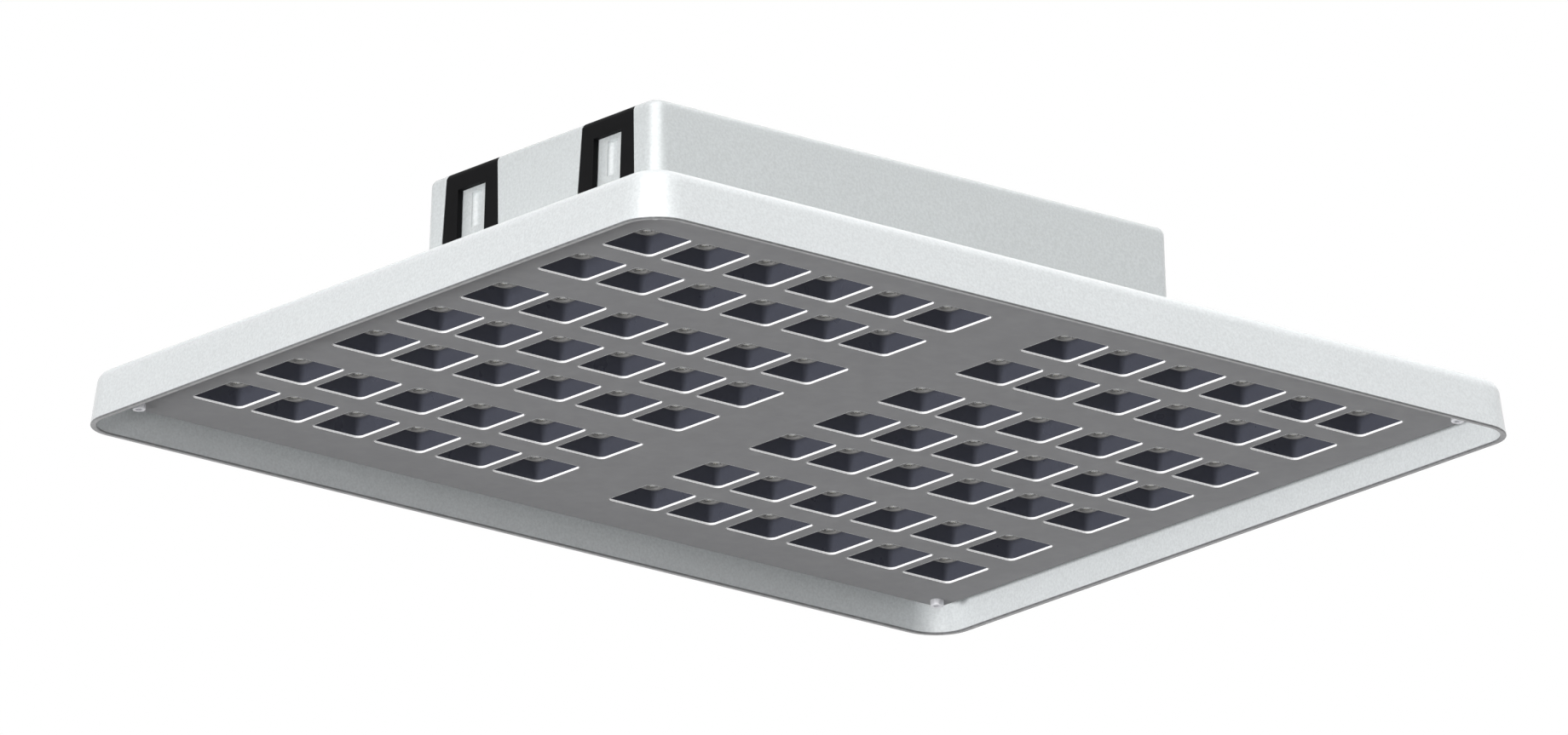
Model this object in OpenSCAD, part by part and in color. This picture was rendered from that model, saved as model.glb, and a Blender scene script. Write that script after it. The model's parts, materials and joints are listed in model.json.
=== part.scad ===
// Sports floodlight: a shallow white housing that rests on its rim, a face panel with
// rows of deep square lens cells, and a gear box with four hinged latches on the roof.
// The origin is the centre of the rim's plane, +X runs along the long side and +Z points
// from the rim to the top of the gear box. All lengths are in millimetres.

/* [Housing] */
// Length of the housing at its rim
housing_length = 700; // [690:1:900]
// Width of the housing at its rim
housing_width = 562; // [552:1:760]
// Height from the rim to the top of the roof
housing_height = 34.5; // [32:0.5:60]
// Thickness of the sloping skirt
skirt_wall = 3.8; // [2.5:0.1:6]
// Thickness of the roof
roof_wall = 3; // [2.5:0.1:5]
// Slope of the skirt from upright, in degrees
skirt_slope = 8.7; // [3:0.1:12]
// Radius of the rim's corners in plan
rim_corner_radius = 26.6; // [22:0.1:60]
// Radius where the roof turns down into the skirt
roof_edge_radius = 9; // [7:0.5:12]
// Radius that softens both edges of the rim
rim_edge_radius = 0.8; // [0.4:0.1:1.2]

/* [Cooling fins] */
// Height of the fins above the roof
fin_height = 12; // [6:0.5:20]
// Thickness of one fin
fin_thickness = 3; // [2:0.1:5]
// Distance from one fin to the next
fin_pitch = 15; // [10:0.5:18]
// Distance from the short ends of the housing to the fins
fin_end_inset = 85; // [76:0.5:180]
// Least distance from the long sides of the housing to a fin
fin_side_inset = 50; // [36:0.5:90]
// Distance from the gear box to the nearest fin
fin_offset = 20; // [12:0.5:28]

/* [Mounting bosses] */
// Distance from the short ends of the housing to the mounting holes
mount_inset_x = 50; // [40:0.5:58]
// Distance from the long sides of the housing to the mounting holes
mount_inset_y = 91; // [50:0.5:130]
// Radius of the two ends of the window in the roof that the inside leads come through
lead_window_radius = 16; // [14:0.5:20]
// Length of the straight part of that window
lead_window_length = 24; // [16:1:40]
// Radius of the tapped hole in each mounting boss
mount_hole_radius = 3.4; // [2.5:0.1:5]
// Outer radius of a mounting boss
mount_boss_radius = 11; // [8:0.5:13]
// Height of a mounting boss above the roof
mount_boss_height = 9; // [6:0.5:12]

/* [Face panel] */
// Depth of the panel's face inside the rim
face_inset = 14; // [10:0.1:18]
// Thickness of the panel's sheet
face_sheet = 1.5; // [1:0.1:2.5]
// Open channel between the panel and the skirt at the short ends
end_channel = 12; // [8:0.1:16]
// Open channel between the panel and the skirt along the long sides
side_channel = 13.8; // [8:0.1:18]
// Radius of the panel's corners
face_corner_radius = 6; // [3:0.5:10]
// Distance from the panel's edges to its corner screws
face_screw_inset = 10.4; // [9.4:0.1:12]

/* [Lens cells] */
// Margin of the panel beyond the cells at its short ends
panel_margin_x = 27.06; // [20:0.01:45]
// Margin of the panel beyond the cells along its long sides
panel_margin_y = 40.76; // [30:0.01:60]
// Strip of the panel between the two blocks of cells
block_strip = 55; // [46:0.5:66]
// Wall between two columns in the middle of a block
column_wall = 9.9; // [7.4:0.1:14]
// Wall between the two outermost columns at each end of a block
end_column_wall = 6.9; // [5:0.1:12]
// Wall between two rows of a group
row_wall = 19.75; // [12:0.05:26]
// Strip of the panel between two groups of rows
group_strip = 32.25; // [24:0.05:40]
// Radius of a cell's corners
cell_corner_radius = 4; // [2:0.5:8]
// Thickness of the white trim that lines each cell
trim_wall = 0.6; // [0.4:0.1:1]
// Margin of a light module round its cells
module_rim = 3.5; // [2:0.1:5]

/* [Lenses] */
// Radius of the boss that holds a lens
boss_radius = 7.9; // [6:0.1:10]
// Length of the boss below its plate
boss_length = 5.7; // [3:0.1:7]
// Radius of the raised ring round the lens
ring_radius = 4.95; // [4.5:0.05:5.8]
// Height of the raised ring
ring_height = 0.6; // [0.3:0.1:1.5]
// Radius of the lens
lens_radius = 3.5; // [2.5:0.1:3.9]
// Radius of the flange that seats the lens
lens_flange_radius = 5.2; // [4.6:0.1:5.8]
// Thickness of the lens flange
lens_flange_height = 0.4; // [0.3:0.05:0.5]

/* [Light engine] */
// Thickness of the plate that carries the lens bosses
optic_plate_thickness = 1.2; // [1.1:0.1:2.5]
// Thickness of the boards
board_thickness = 1.6; // [1:0.1:2.5]
// Thickness of the heat spreader
spreader_thickness = 1.4; // [1:0.1:4]
// Side of one light emitting chip
chip_size = 3.5; // [2:0.1:5]
// Height of one light emitting chip
chip_height = 0.6; // [0.4:0.05:0.65]

/* [Gear box] */
// Length of the gear box at its foot
box_length = 422.5; // [405:0.5:470]
// Width of the gear box at its foot
box_width = 230.4; // [226:0.2:244]
// Height of the gear box above the roof
box_height = 112.5; // [104:0.5:150]
// Slope of the gear box walls from upright, in degrees
box_slope = 2.14; // [0.5:0.01:4]
// Radius of the gear box corners at the foot
box_corner_radius = 13; // [12:0.5:20]
// Radius of the gear box top edge
box_edge_radius = 5; // [4:0.5:6.5]
// Thickness of the gear box walls
box_wall = 3; // [2:0.1:4]
// Height of the seam between base and cover above the roof
seam_height = 33; // [30:0.5:40]
// Thickness of the gasket in the seam
seam_gasket = 2; // [1:0.1:3]

/* [Latches] */
// Distance from the side of the gear box to the middle of a latch
latch_inset = 49.2; // [46:0.1:54]
// Width of a latch at the top of the gear box
latch_top_width = 48.7; // [44:0.1:50]
// Slope of the latch's sides from upright, in degrees
latch_side_slope = 3.4; // [1:0.1:4]
// Width of the slot between the latch's legs
latch_slot_width = 26.8; // [20:0.1:29]
// Height of the latch's crossbar
latch_bar_height = 13.3; // [10:0.1:18]
// Thickness of a latch
latch_thickness = 4; // [3:0.1:5]
// Reach of the latch's hook over the top of the cover
latch_reach = 14; // [10:0.5:18]
// Running gap between a latch and its pocket
latch_gap = 0.4; // [0.3:0.05:0.8]
// Radius of the finger groove behind each latch
groove_radius = 5; // [3:0.1:7]
// Depth of the finger groove
groove_depth = 3.5; // [2:0.1:4]
// Distance from the crossbar down to the top of the finger groove
groove_drop = 2.7; // [1:0.1:8]
// Length of the finger groove
groove_length = 23; // [12:0.5:34]
// Height of the hinge axis above the roof
hinge_height = 13.5; // [11:0.1:16]
// Radius of the hinge pins
hinge_pin_radius = 2; // [1.5:0.1:2.5]
// Radial clearance of the hinge pins in the latches
hinge_clearance = 0.05; // [0.03:0.01:0.09]
// Radius of the latch's eyes round the pin
hinge_eye_radius = 4.6; // [4.2:0.1:5.4]

/* [Cable gland and vent] */
// Radius of the gland's thread
gland_thread_radius = 10; // [8:0.5:11]
// Width across the flats of the gland
gland_flats = 24; // [22:0.5:25]
// Radius of the passage for the cable
gland_bore_radius = 5.5; // [4:0.1:6.5]
// Length of the gland body outside the wall
gland_body_length = 8; // [6:0.5:14]
// Length of the gland's dome nut
gland_nut_length = 14; // [10:0.5:20]
// Height of the gland and the vent above the roof
gland_height = 17; // [16.4:0.1:17.6]
// Radius of the vent's thread
vent_thread_radius = 6; // [4:0.5:7]
// Radius of the vent's cap
vent_cap_radius = 9; // [8:0.5:12]

/* [Gear tray] */
// Thickness of the gear tray
gear_tray_thickness = 2; // [1.5:0.1:3]
// Distance from the ends of the gear box to the gear tray
gear_tray_inset_x = 31.25; // [26:0.05:40]
// Distance from the sides of the gear box to the gear tray
gear_tray_inset_y = 23.2; // [19:0.1:30]
// Height of the pillars under the gear tray
pillar_height = 8; // [6:0.5:14]
// Length of the gear tray beyond the drivers
driver_end_space = 132; // [128:1:200]
// Margin of the gear tray beside the drivers
driver_side_space = 12; // [8:0.5:24]
// Height of one driver
driver_height = 39; // [25:0.5:46]
// Free strip between the two drivers
driver_strip = 24; // [20:0.5:28]
// Length of the surge protector
surge_length = 40; // [30:0.5:48]
// How much narrower than a driver the surge protector is
surge_side_space = 8; // [2:0.5:24]
// Height of the surge protector
surge_height = 28; // [20:0.5:40]
// How much shorter than a driver's width the row of poles is
pole_side_space = 8; // [2:0.5:24]
// Poles of the terminal block
pole_count = 5; // [3:1:5]
// Radius of the leads
lead_radius = 2.2; // [1.5:0.1:2.5]

/* [Hidden] */
$fn = 64;

// Overrun of every cut past the face that it opens
over = 1;
// Close fit between pieces of one body
fit_gap = 0.1;
// Clear space kept between neighbouring hardware
spare = 2;

// Levels, counted from the plane of the rim
roof_top = housing_height;
roof_under = housing_height - roof_wall;
panel_back = face_inset + face_sheet;
spreader_under = roof_under - spreader_thickness;
board_under = spreader_under - board_thickness;
optic_under = board_under - optic_plate_thickness;
box_top = roof_top + box_height;
seam_low = roof_top + seam_height;
seam_high = seam_low + seam_gasket;

// The skirt's inner face at the panel's level
function skirt_in(half, z) = half - skirt_wall - tan(skirt_slope) * z;
panel_half_x = skirt_in(housing_length / 2, face_inset) - end_channel;
panel_half_y = skirt_in(housing_width / 2, face_inset) - side_channel;
face_screw_x = panel_half_x - face_screw_inset;
face_screw_y = panel_half_y - face_screw_inset;

// What stands on the roof
mount_spacing_x = housing_length - 2 * mount_inset_x;
mount_spacing_y = housing_width - 2 * mount_inset_y;
fin_length = housing_length - 2 * fin_end_inset;
first_fin_y = box_width / 2 + fin_offset;
fin_count = floor((housing_width / 2 - fin_side_inset - first_fin_y) / fin_pitch) + 1;

// Metric fasteners
screw_head_radius = 4.25;
screw_head_height = 4.3;
screw_socket_radius = 2.3;
screw_socket_depth = 2.4;
screw_hole_radius = 2.8;
screw_tap_radius = 2.1;
screw_length = 12;
post_radius = 5;
small_tap_radius = 1.25;
small_hole_radius = 1.7;
small_head_radius = 2.75;
small_head_height = 2.2;
small_socket_radius = 1.2;
small_socket_depth = 1.2;
small_grip = 2;
hex_sides = 6;

// Seal of the face panel
panel_gasket_height = 2;
panel_gasket_width = 4;

// Cells share what the margins, strips and walls leave of the panel
block_columns = 6;
row_count = 7;
column_room = panel_half_x - panel_margin_x - block_strip / 2 - 3 * column_wall - 2 * end_column_wall;
row_room = 2 * (panel_half_y - panel_margin_y) - 4 * row_wall - 2 * group_strip;
cell_length = column_room / block_columns;
cell_width = row_room / row_count;
column_pitch = cell_length + column_wall;
end_column_pitch = cell_length + end_column_wall;
row_pitch = cell_width + row_wall;
group_step = cell_width + group_strip;
block_step = cell_length + block_strip;

// Columns of one block and rows of the three groups, about the block's own middle
column_places = [
    -1.5 * column_pitch - end_column_pitch, -1.5 * column_pitch, -0.5 * column_pitch,
    0.5 * column_pitch, 1.5 * column_pitch, 1.5 * column_pitch + end_column_pitch
];
pair_rows = [-0.5 * row_pitch, 0.5 * row_pitch];
triple_rows = [-row_pitch, 0, row_pitch];
block_x = block_step / 2 + 1.5 * column_pitch + end_column_pitch;
pair_y = row_pitch + group_step + row_pitch / 2;
block_half_x = 1.5 * column_pitch + end_column_pitch + cell_length / 2 + module_rim;

// Each light module: [its middle, its rows]
module_list = [
    [[-block_x, -pair_y], pair_rows], [[-block_x, 0], triple_rows], [[-block_x, pair_y], pair_rows],
    [[block_x, -pair_y], pair_rows], [[block_x, 0], triple_rows], [[block_x, pair_y], pair_rows]
];

// Link board in the strip between the blocks
link_half_y = pair_y;
link_gap = 1;
link_half_x = block_x - block_half_x - link_gap;
link_connector_length = 8;
link_connector_width = 14;
link_connector_height = 3;
plug_side = 16;
plug_height = 8;
// Where the connectors stand, as a share of the modules' own places
link_connector_share = 0.9;
lead_pass_radius = 9;
// Distance of a lead from the middle where it passes the roof
lead_place = 4;
lead_turn = 6;
grommet_lip = 3;
grommet_lip_height = 2;

// Reading of the gear box
function box_face_x(z) = box_length / 2 - tan(box_slope) * (z - roof_top);
pocket_depth = latch_thickness + latch_gap;
pad_wall = 2.5;
pad_depth = pocket_depth + groove_depth + pad_wall;
pad_margin = 3;
base_floor = 3;
latch_bar_low = box_top - latch_bar_height;
latch_offset = box_width / 2 - latch_inset;
hinge_z = roof_top + hinge_height;
eye_ease = 0.3;
hinge_out = hinge_eye_radius - latch_thickness + eye_ease;
hinge_x = box_face_x(hinge_z) + hinge_out;
hinge_space = 1.6;
pocket_low = hinge_z - hinge_eye_radius - hinge_space;
knuckle_width = 7;
eye_ring_clearance = 0.5;

// Screws that hold the gear box base to the roof, inside the base
base_screw_inset_x = 21.25;
base_screw_inset_y = 19.2;
base_screw_x = box_length / 2 - base_screw_inset_x;
base_screw_y = box_width / 2 - base_screw_inset_y;
base_boss_radius = 6;
base_boss_height = 9;

// Cable gland
gland_z = roof_top + gland_height;
gland_inside_length = 7;
gland_seal_radius = 7.5;
gland_seal_length = 6;
gland_nut_radius = 11;
gland_tip_radius = 8.5;
gland_tube_wall = 1.9;
gland_tube_length = 9;
gland_seal_low = gland_body_length + gland_tube_length - gland_seal_length;
gland_bore_length = box_wall + gland_inside_length + gland_seal_low + over;
vent_cap_height = 5;
vent_inside_length = 5;
vent_bore_radius = 2.5;
vent_slot_width = 1.2;
vent_slot_depth = 1;
vent_slot_count = 6;

// Gear tray and what stands on it
gear_tray_length = box_length - 2 * gear_tray_inset_x;
gear_tray_width = box_width - 2 * gear_tray_inset_y;
driver_length = gear_tray_length - driver_end_space;
driver_width = (gear_tray_width - driver_strip) / 2 - driver_side_space;
surge_width = driver_width - surge_side_space;
pole_length = (driver_width - pole_side_space) / pole_count;
pillar_radius = 4;
pillar_x = gear_tray_length / 2 - 3 * pillar_radius;
pillar_y = gear_tray_width / 2 - 1.5 * pillar_radius;
tray_under = roof_top + base_floor + pillar_height;
tray_top = tray_under + gear_tray_thickness;
driver_foot_length = 9;
driver_x = -gear_tray_length / 2 + driver_length / 2 + driver_foot_length + spare;
driver_y = driver_strip / 2 + driver_width / 2;
driver_foot_thickness = 3;
driver_rib_width = 2.5;
driver_rib_pitch = 7;
driver_rib_depth = 4;
driver_edge_radius = 3;
driver_screw_y = driver_width / 2 - 3 * spare;
gear_right = driver_x + driver_length / 2 + driver_foot_length;
surge_x = gear_right + spare + surge_length / 2 + 3 * spare;
surge_y = driver_strip / 2 + surge_width / 2;
surge_foot = 6;
pole_width = 22;
pole_height = 18;
pole_step = 7;
pole_hole_radius = 3.2;
terminal_x = surge_x;
terminal_y = -driver_strip / 2 - pole_length * pole_count / 2 - 2 * spare;
tray_lead_hole = 11;
small_tap_depth = 6;
// Height of the leads on the drivers' ends, as a share of the drivers' height
lead_level_share = 0.4;
lead_level = tray_top + driver_height * lead_level_share;

// A flat plate with rounded corners
module rounded_rect(l, w, r) {
    square([l - 2 * r, w], center = true);
    square([l, w - 2 * r], center = true);
    for (sx = [-1, 1], sy = [-1, 1]) {
        translate([sx * (l / 2 - r), sy * (w / 2 - r)]) circle(r);
    }
}

// Stands its children at the four places with these distances from the middle
module at_four(x, y) {
    for (sx = [-1, 1], sy = [-1, 1]) {
        translate([sx * x, sy * y, 0]) children();
    }
}

// Runs a profile of (distance from the corner's centre, height) round a rounded oblong
module run_round(l, w, r) {
    for (sx = [0, 1], sy = [0, 1]) {
        mirror([sx, 0, 0]) mirror([0, sy, 0])
            translate([l / 2 - r, w / 2 - r, 0]) rotate_extrude(angle = 90) children();
    }
    for (sx = [0, 1]) {
        mirror([sx, 0, 0]) translate([l / 2 - r, w / 2 - r, 0])
            rotate([90, 0, 0]) linear_extrude(w - 2 * r) children();
    }
    for (sy = [0, 1]) {
        mirror([0, sy, 0]) translate([r - l / 2, w / 2 - r, 0])
            rotate([90, 0, 90]) linear_extrude(l - 2 * r) children();
    }
}

// The solid section between a corner's axis and a face that leans in by slope degrees,
// from height low to height high, with a round of radius edge at the top
module leaning_section(foot, slope, low, high, edge, from) {
    lean = tan(slope);
    // Centre of the round: edge below the top and edge square to the leaning face
    round_z = high - edge;
    round_x = foot - lean * (round_z - from) - edge / cos(slope);
    // The round starts here on the face, and ends on the top above its own centre
    start = [round_x + edge * cos(slope), round_z + edge * sin(slope)];
    polygon([[0, low], [foot - lean * (low - from), low], start, [round_x, high], [0, high]]);
    intersection() {
        translate([round_x, round_z]) circle(edge);
        polygon([start, [foot - lean * (high - from), high], [round_x, high]]);
    }
}

// Section of the housing: roof, rounded shoulder and sloping skirt
module housing_section() {
    inner_foot = rim_corner_radius - skirt_wall;
    difference() {
        leaning_section(rim_corner_radius, skirt_slope, 0, roof_top, roof_edge_radius, 0);
        leaning_section(inner_foot, skirt_slope, 0, roof_under, roof_edge_radius - roof_wall, 0);
        translate([rim_corner_radius - rim_edge_radius, 0]) rim_bite();
        translate([inner_foot + rim_edge_radius, 0]) mirror([1, 0, 0]) rim_bite();
    }
}

// What the rounding of one rim edge takes away
module rim_bite() {
    difference() {
        translate([0, -over]) square([over + rim_edge_radius, over + rim_edge_radius]);
        translate([0, rim_edge_radius]) circle(rim_edge_radius);
    }
}

// The fins on one side of the gear box
module fin_bank() {
    for (i = [0 : fin_count - 1]) {
        translate([-fin_length / 2, first_fin_y + i * fin_pitch - fin_thickness / 2, roof_top])
            cube([fin_length, fin_thickness, fin_height]);
    }
}

// Thin fins bonded to the roof, which carry off the heat of the boards below
module cooling_fins() {
    color("whitesmoke") {
        fin_bank();
        mirror([0, 1, 0]) fin_bank();
    }
}

// The window in the roof that the grommet hangs in
module lead_window() {
    through = roof_wall + 2 * over;
    translate([0, 0, roof_under - over]) {
        translate([-lead_window_length / 2, -lead_window_radius, 0])
            cube([lead_window_length, 2 * lead_window_radius, through]);
        for (side = [-1, 1]) {
            translate([side * lead_window_length / 2, 0, 0]) cylinder(r = lead_window_radius, h = through);
        }
    }
}

// The white shell with its mounting bosses and inner posts
module housing_tray() {
    core_x = housing_length - 2 * rim_corner_radius;
    core_y = housing_width - 2 * rim_corner_radius;
    color("whitesmoke") difference() {
        union() {
            run_round(housing_length, housing_width, rim_corner_radius) housing_section();
            translate([-core_x / 2, -core_y / 2, roof_under]) cube([core_x, core_y, roof_wall]);
            translate([0, 0, roof_top]) at_four(mount_spacing_x / 2, mount_spacing_y / 2)
                cylinder(r = mount_boss_radius, h = mount_boss_height);
            translate([0, 0, panel_back]) at_four(face_screw_x, face_screw_y)
                cylinder(r = post_radius, h = roof_under - panel_back);
        }
        translate([0, 0, roof_top]) at_four(mount_spacing_x / 2, mount_spacing_y / 2)
            cylinder(r = mount_hole_radius, h = mount_boss_height + over);
        translate([0, 0, panel_back - over]) at_four(face_screw_x, face_screw_y)
            cylinder(r = screw_tap_radius, h = screw_length + over);
        lead_window();
        for (place = module_screw_places) {
            translate([place[0], place[1], roof_under - over])
                cylinder(r = small_tap_radius, h = small_grip + over);
        }
        translate([0, 0, roof_under - over]) at_four(base_screw_x, base_screw_y)
            cylinder(r = small_hole_radius, h = roof_wall + 2 * over);
    }
}

// Middles of all the cells of one module
function cell_places(which) = [
    for (x = column_places, y = module_list[which][1])
        [module_list[which][0][0] + x, module_list[which][0][1] + y]
];

// Screws of one module: between its rows, beside the two middle columns
function screw_places(which) = [
    for (x = [-column_pitch, column_pitch], i = [1 : len(module_list[which][1]) - 1])
        [
            module_list[which][0][0] + x,
            module_list[which][0][1] + (module_list[which][1][i - 1] + module_list[which][1][i]) / 2
        ]
];

module_screw_places = [for (which = [0 : len(module_list) - 1]) each screw_places(which)];
all_cell_places = [for (which = [0 : len(module_list) - 1]) each cell_places(which)];

// Outline of one light module
module block_outline(which) {
    rows = module_list[which][1];
    block_half_y = rows[len(rows) - 1] + cell_width / 2 + module_rim;
    translate(module_list[which][0]) square([2 * block_half_x, 2 * block_half_y], center = true);
}

module cell_outlines(places, grow) {
    for (place = places) {
        translate(place)
            rounded_rect(cell_length + 2 * grow, cell_width + 2 * grow, cell_corner_radius + grow);
    }
}

// The grey face sheet with its turned-up edge
module face_panel() {
    flange_top = roof_under - panel_gasket_height;
    color("gray") {
        difference() {
            translate([0, 0, face_inset]) linear_extrude(face_sheet) difference() {
                rounded_rect(2 * panel_half_x, 2 * panel_half_y, face_corner_radius);
                cell_outlines(all_cell_places, trim_wall + fit_gap);
            }
            translate([0, 0, face_inset - over]) at_four(face_screw_x, face_screw_y)
                cylinder(r = screw_hole_radius, h = face_sheet + 2 * over);
        }
        translate([0, 0, panel_back]) linear_extrude(flange_top - panel_back) difference() {
            rounded_rect(2 * panel_half_x, 2 * panel_half_y, face_corner_radius);
            rounded_rect(2 * (panel_half_x - face_sheet), 2 * (panel_half_y - face_sheet),
                face_corner_radius - face_sheet);
        }
    }
}

module panel_gasket() {
    inner_x = panel_half_x - panel_gasket_width;
    inner_y = panel_half_y - panel_gasket_width;
    color("black") translate([0, 0, roof_under - panel_gasket_height])
        linear_extrude(panel_gasket_height) difference() {
            rounded_rect(2 * panel_half_x, 2 * panel_half_y, face_corner_radius);
            square([2 * inner_x, 2 * inner_y], center = true);
        }
}

// A cap screw that hangs head down, its head's seat at the origin
module cap_screw(shank_radius, length, head_radius, head_height, socket_radius, socket_depth) {
    difference() {
        union() {
            translate([0, 0, -head_height]) cylinder(r = head_radius, h = head_height);
            cylinder(r = shank_radius, h = length);
        }
        translate([0, 0, -head_height - over])
            cylinder(r = socket_radius, h = socket_depth + over, $fn = hex_sides);
    }
}

module panel_screws() {
    color("silver") translate([0, 0, face_inset]) at_four(face_screw_x, face_screw_y)
        cap_screw(screw_tap_radius - fit_gap, screw_length - over, screw_head_radius, screw_head_height,
            screw_socket_radius, screw_socket_depth);
}

// The dark egg-crate that walls in the cells of one module
module reflector_module(which) {
    color("dimgray") difference() {
        translate([0, 0, panel_back]) linear_extrude(optic_under - panel_back) difference() {
            block_outline(which);
            cell_outlines(cell_places(which), 0);
            for (place = screw_places(which)) translate(place) circle(small_hole_radius);
        }
        for (place = screw_places(which)) {
            translate([place[0], place[1], panel_back - over])
                cylinder(r = small_head_radius + fit_gap, h = small_head_height + spare + over);
        }
    }
}

// The white trim that lines the mouth of each cell
module cell_trim(which) {
    color("white") translate([0, 0, face_inset]) linear_extrude(face_sheet) difference() {
        cell_outlines(cell_places(which), trim_wall);
        cell_outlines(cell_places(which), 0);
    }
}

// Plate with one hollow lens boss in the middle of each cell
module optic_plate(which) {
    bore = lens_radius + fit_gap;
    seat = lens_flange_radius + fit_gap;
    color("gray") difference() {
        union() {
            translate([0, 0, optic_under]) linear_extrude(optic_plate_thickness) block_outline(which);
            for (place = cell_places(which)) {
                translate([place[0], place[1], optic_under - boss_length])
                    cylinder(r = boss_radius, h = boss_length);
                translate([place[0], place[1], optic_under - boss_length - ring_height])
                    cylinder(r = ring_radius, h = ring_height);
            }
        }
        for (place = cell_places(which)) {
            translate([place[0], place[1], optic_under - boss_length - ring_height - over])
                cylinder(r = bore, h = boss_length + ring_height + optic_plate_thickness + 2 * over);
            translate([place[0], place[1], optic_under]) cylinder(r = seat, h = optic_plate_thickness + over);
        }
        for (place = screw_places(which)) {
            translate([place[0], place[1], optic_under - over])
                cylinder(r = small_hole_radius, h = optic_plate_thickness + 2 * over);
        }
    }
}

// The clear lenses, each seated by its flange
module lens_set(which) {
    color("lightcyan") for (place = cell_places(which)) {
        translate([place[0], place[1], optic_under]) cylinder(r = lens_flange_radius, h = lens_flange_height);
        translate([place[0], place[1], optic_under - boss_length]) cylinder(r = lens_radius, h = boss_length);
    }
}

module led_board(which) {
    color("white") translate([0, 0, board_under]) linear_extrude(board_thickness) difference() {
        block_outline(which);
        for (place = screw_places(which)) translate(place) circle(small_hole_radius);
    }
}

module led_chips() {
    color("khaki") for (place = all_cell_places) {
        translate([place[0] - chip_size / 2, place[1] - chip_size / 2, board_under - chip_height])
            cube([chip_size, chip_size, chip_height]);
    }
}

// Narrow board that joins the six light boards, with a connector at each
module link_board() {
    color("green") {
        difference() {
            translate([-link_half_x, -link_half_y, board_under])
                cube([2 * link_half_x, 2 * link_half_y, board_thickness]);
            translate([0, 0, board_under - over])
                cylinder(r = lead_pass_radius - spare, h = board_thickness + 2 * over);
        }
        for (y = [-pair_y, 0, pair_y], side = [-1, 1]) {
            connector_x = side * (link_half_x - link_connector_length / 2);
            translate([
                connector_x - link_connector_length / 2, y * link_connector_share - link_connector_width / 2,
                board_under - link_connector_height
            ]) cube([link_connector_length, link_connector_width, link_connector_height]);
        }
    }
}
// Plug under the link board that takes the leads from the gear box
module link_plug() {
    color("white") difference() {
        translate([-plug_side / 2, -plug_side / 2, board_under - plug_height])
            cube([plug_side, plug_side, plug_height]);
        for (side = [-1, 1]) {
            translate([0, side * lead_place, board_under - plug_height / 2])
                cylinder(r = lead_radius + fit_gap, h = plug_height);
        }
    }
}

module module_screws() {
    head_seat = panel_back + small_head_height + spare;
    color("silver") for (place = module_screw_places) {
        translate([place[0], place[1], head_seat])
            cap_screw(small_tap_radius - fit_gap, roof_under + small_grip - fit_gap - head_seat,
                small_head_radius, small_head_height, small_socket_radius, small_socket_depth);
    }
}

// Aluminium sheet between the boards and the roof
module heat_spreader() {
    half_x = face_screw_x - post_radius - spare;
    half_y = face_screw_y - post_radius - spare;
    color("lightgray") difference() {
        translate([-half_x, -half_y, spreader_under]) cube([2 * half_x, 2 * half_y, spreader_thickness]);
        translate([0, 0, spreader_under - over])
            cylinder(r = lead_pass_radius, h = spreader_thickness + 2 * over);
        for (place = module_screw_places) {
            translate([place[0], place[1], spreader_under - over])
                cylinder(r = small_hole_radius, h = spreader_thickness + 2 * over);
        }
        translate([0, 0, spreader_under - over]) at_four(base_screw_x, base_screw_y)
            cylinder(r = small_head_radius + fit_gap, h = spreader_thickness + 2 * over);
    }
}

// The leaning section of the gear box between two heights, skin deep under its face
module box_outer(low, high, skin = 0) {
    intersection() {
        leaning_section(box_corner_radius - skin, box_slope, roof_top, box_top - skin,
            box_edge_radius - skin, roof_top);
        translate([0, low]) square([box_corner_radius, high - low]);
    }
}

// Its wall only
module box_wall_section(low, high) {
    difference() {
        box_outer(low, high);
        leaning_section(box_corner_radius - box_wall, box_slope, roof_top - over, box_top - box_wall,
            box_edge_radius - box_wall, roof_top);
    }
}

// A strip that follows the end wall, from outer to inner behind its face
module face_strip(low, high, outer, inner) {
    polygon([
        [box_face_x(low) - inner, low], [box_face_x(low) - outer, low],
        [box_face_x(high) - outer, high], [box_face_x(high) - inner, high]
    ]);
}

// The end wall's outline, skin deep under its face and filled towards the middle of the box
module end_outline(low, high, skin = 0) {
    fill = latch_reach + pad_depth;
    top = min(high, box_top - skin);
    translate([box_length / 2 - box_corner_radius, 0]) box_outer(low, high, skin);
    translate([box_length / 2 - box_corner_radius - fill, low]) square([fill + over, top - low]);
}

// Section of the thick pad that backs one latch pocket
module pad_section(low, high) {
    intersection() {
        face_strip(roof_top, box_top, 0, pad_depth);
        end_outline(low, high, box_wall / 2);
    }
}

// Section of the pad under a latch's hook
module hook_pad_section() {
    pad_low = box_top - pocket_depth - pad_wall;
    hook_back = box_face_x(box_top) - latch_reach - latch_gap - pad_wall;
    intersection() {
        translate([hook_back, pad_low]) square([box_length / 2 - hook_back, box_top - pad_low]);
        end_outline(pad_low, box_top, box_wall / 2);
    }
}

// Half the latch's width at a height
function latch_half(z) = latch_top_width / 2 + tan(latch_side_slope) * (box_top - z);

// Stands its children at one latch: 1 and 2 at the -X end, 3 and 4 at the +X end
module at_latch(which) {
    translate([0, which % 2 == 1 ? -latch_offset : latch_offset, 0])
        mirror([which <= 2 ? 1 : 0, 0, 0]) children();
}

// A section of the end wall, carried across the latch and cut to its tapered width
module across_latch(low, grow) {
    high = box_top + over;
    intersection() {
        rotate([90, 0, 0]) linear_extrude(4 * latch_half(low), center = true) children();
        rotate([90, 0, 90]) linear_extrude(box_length) polygon([
            [-latch_half(low) - grow, low], [latch_half(low) + grow, low],
            [latch_half(high) + grow, high], [-latch_half(high) - grow, high]
        ]);
    }
}

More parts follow.
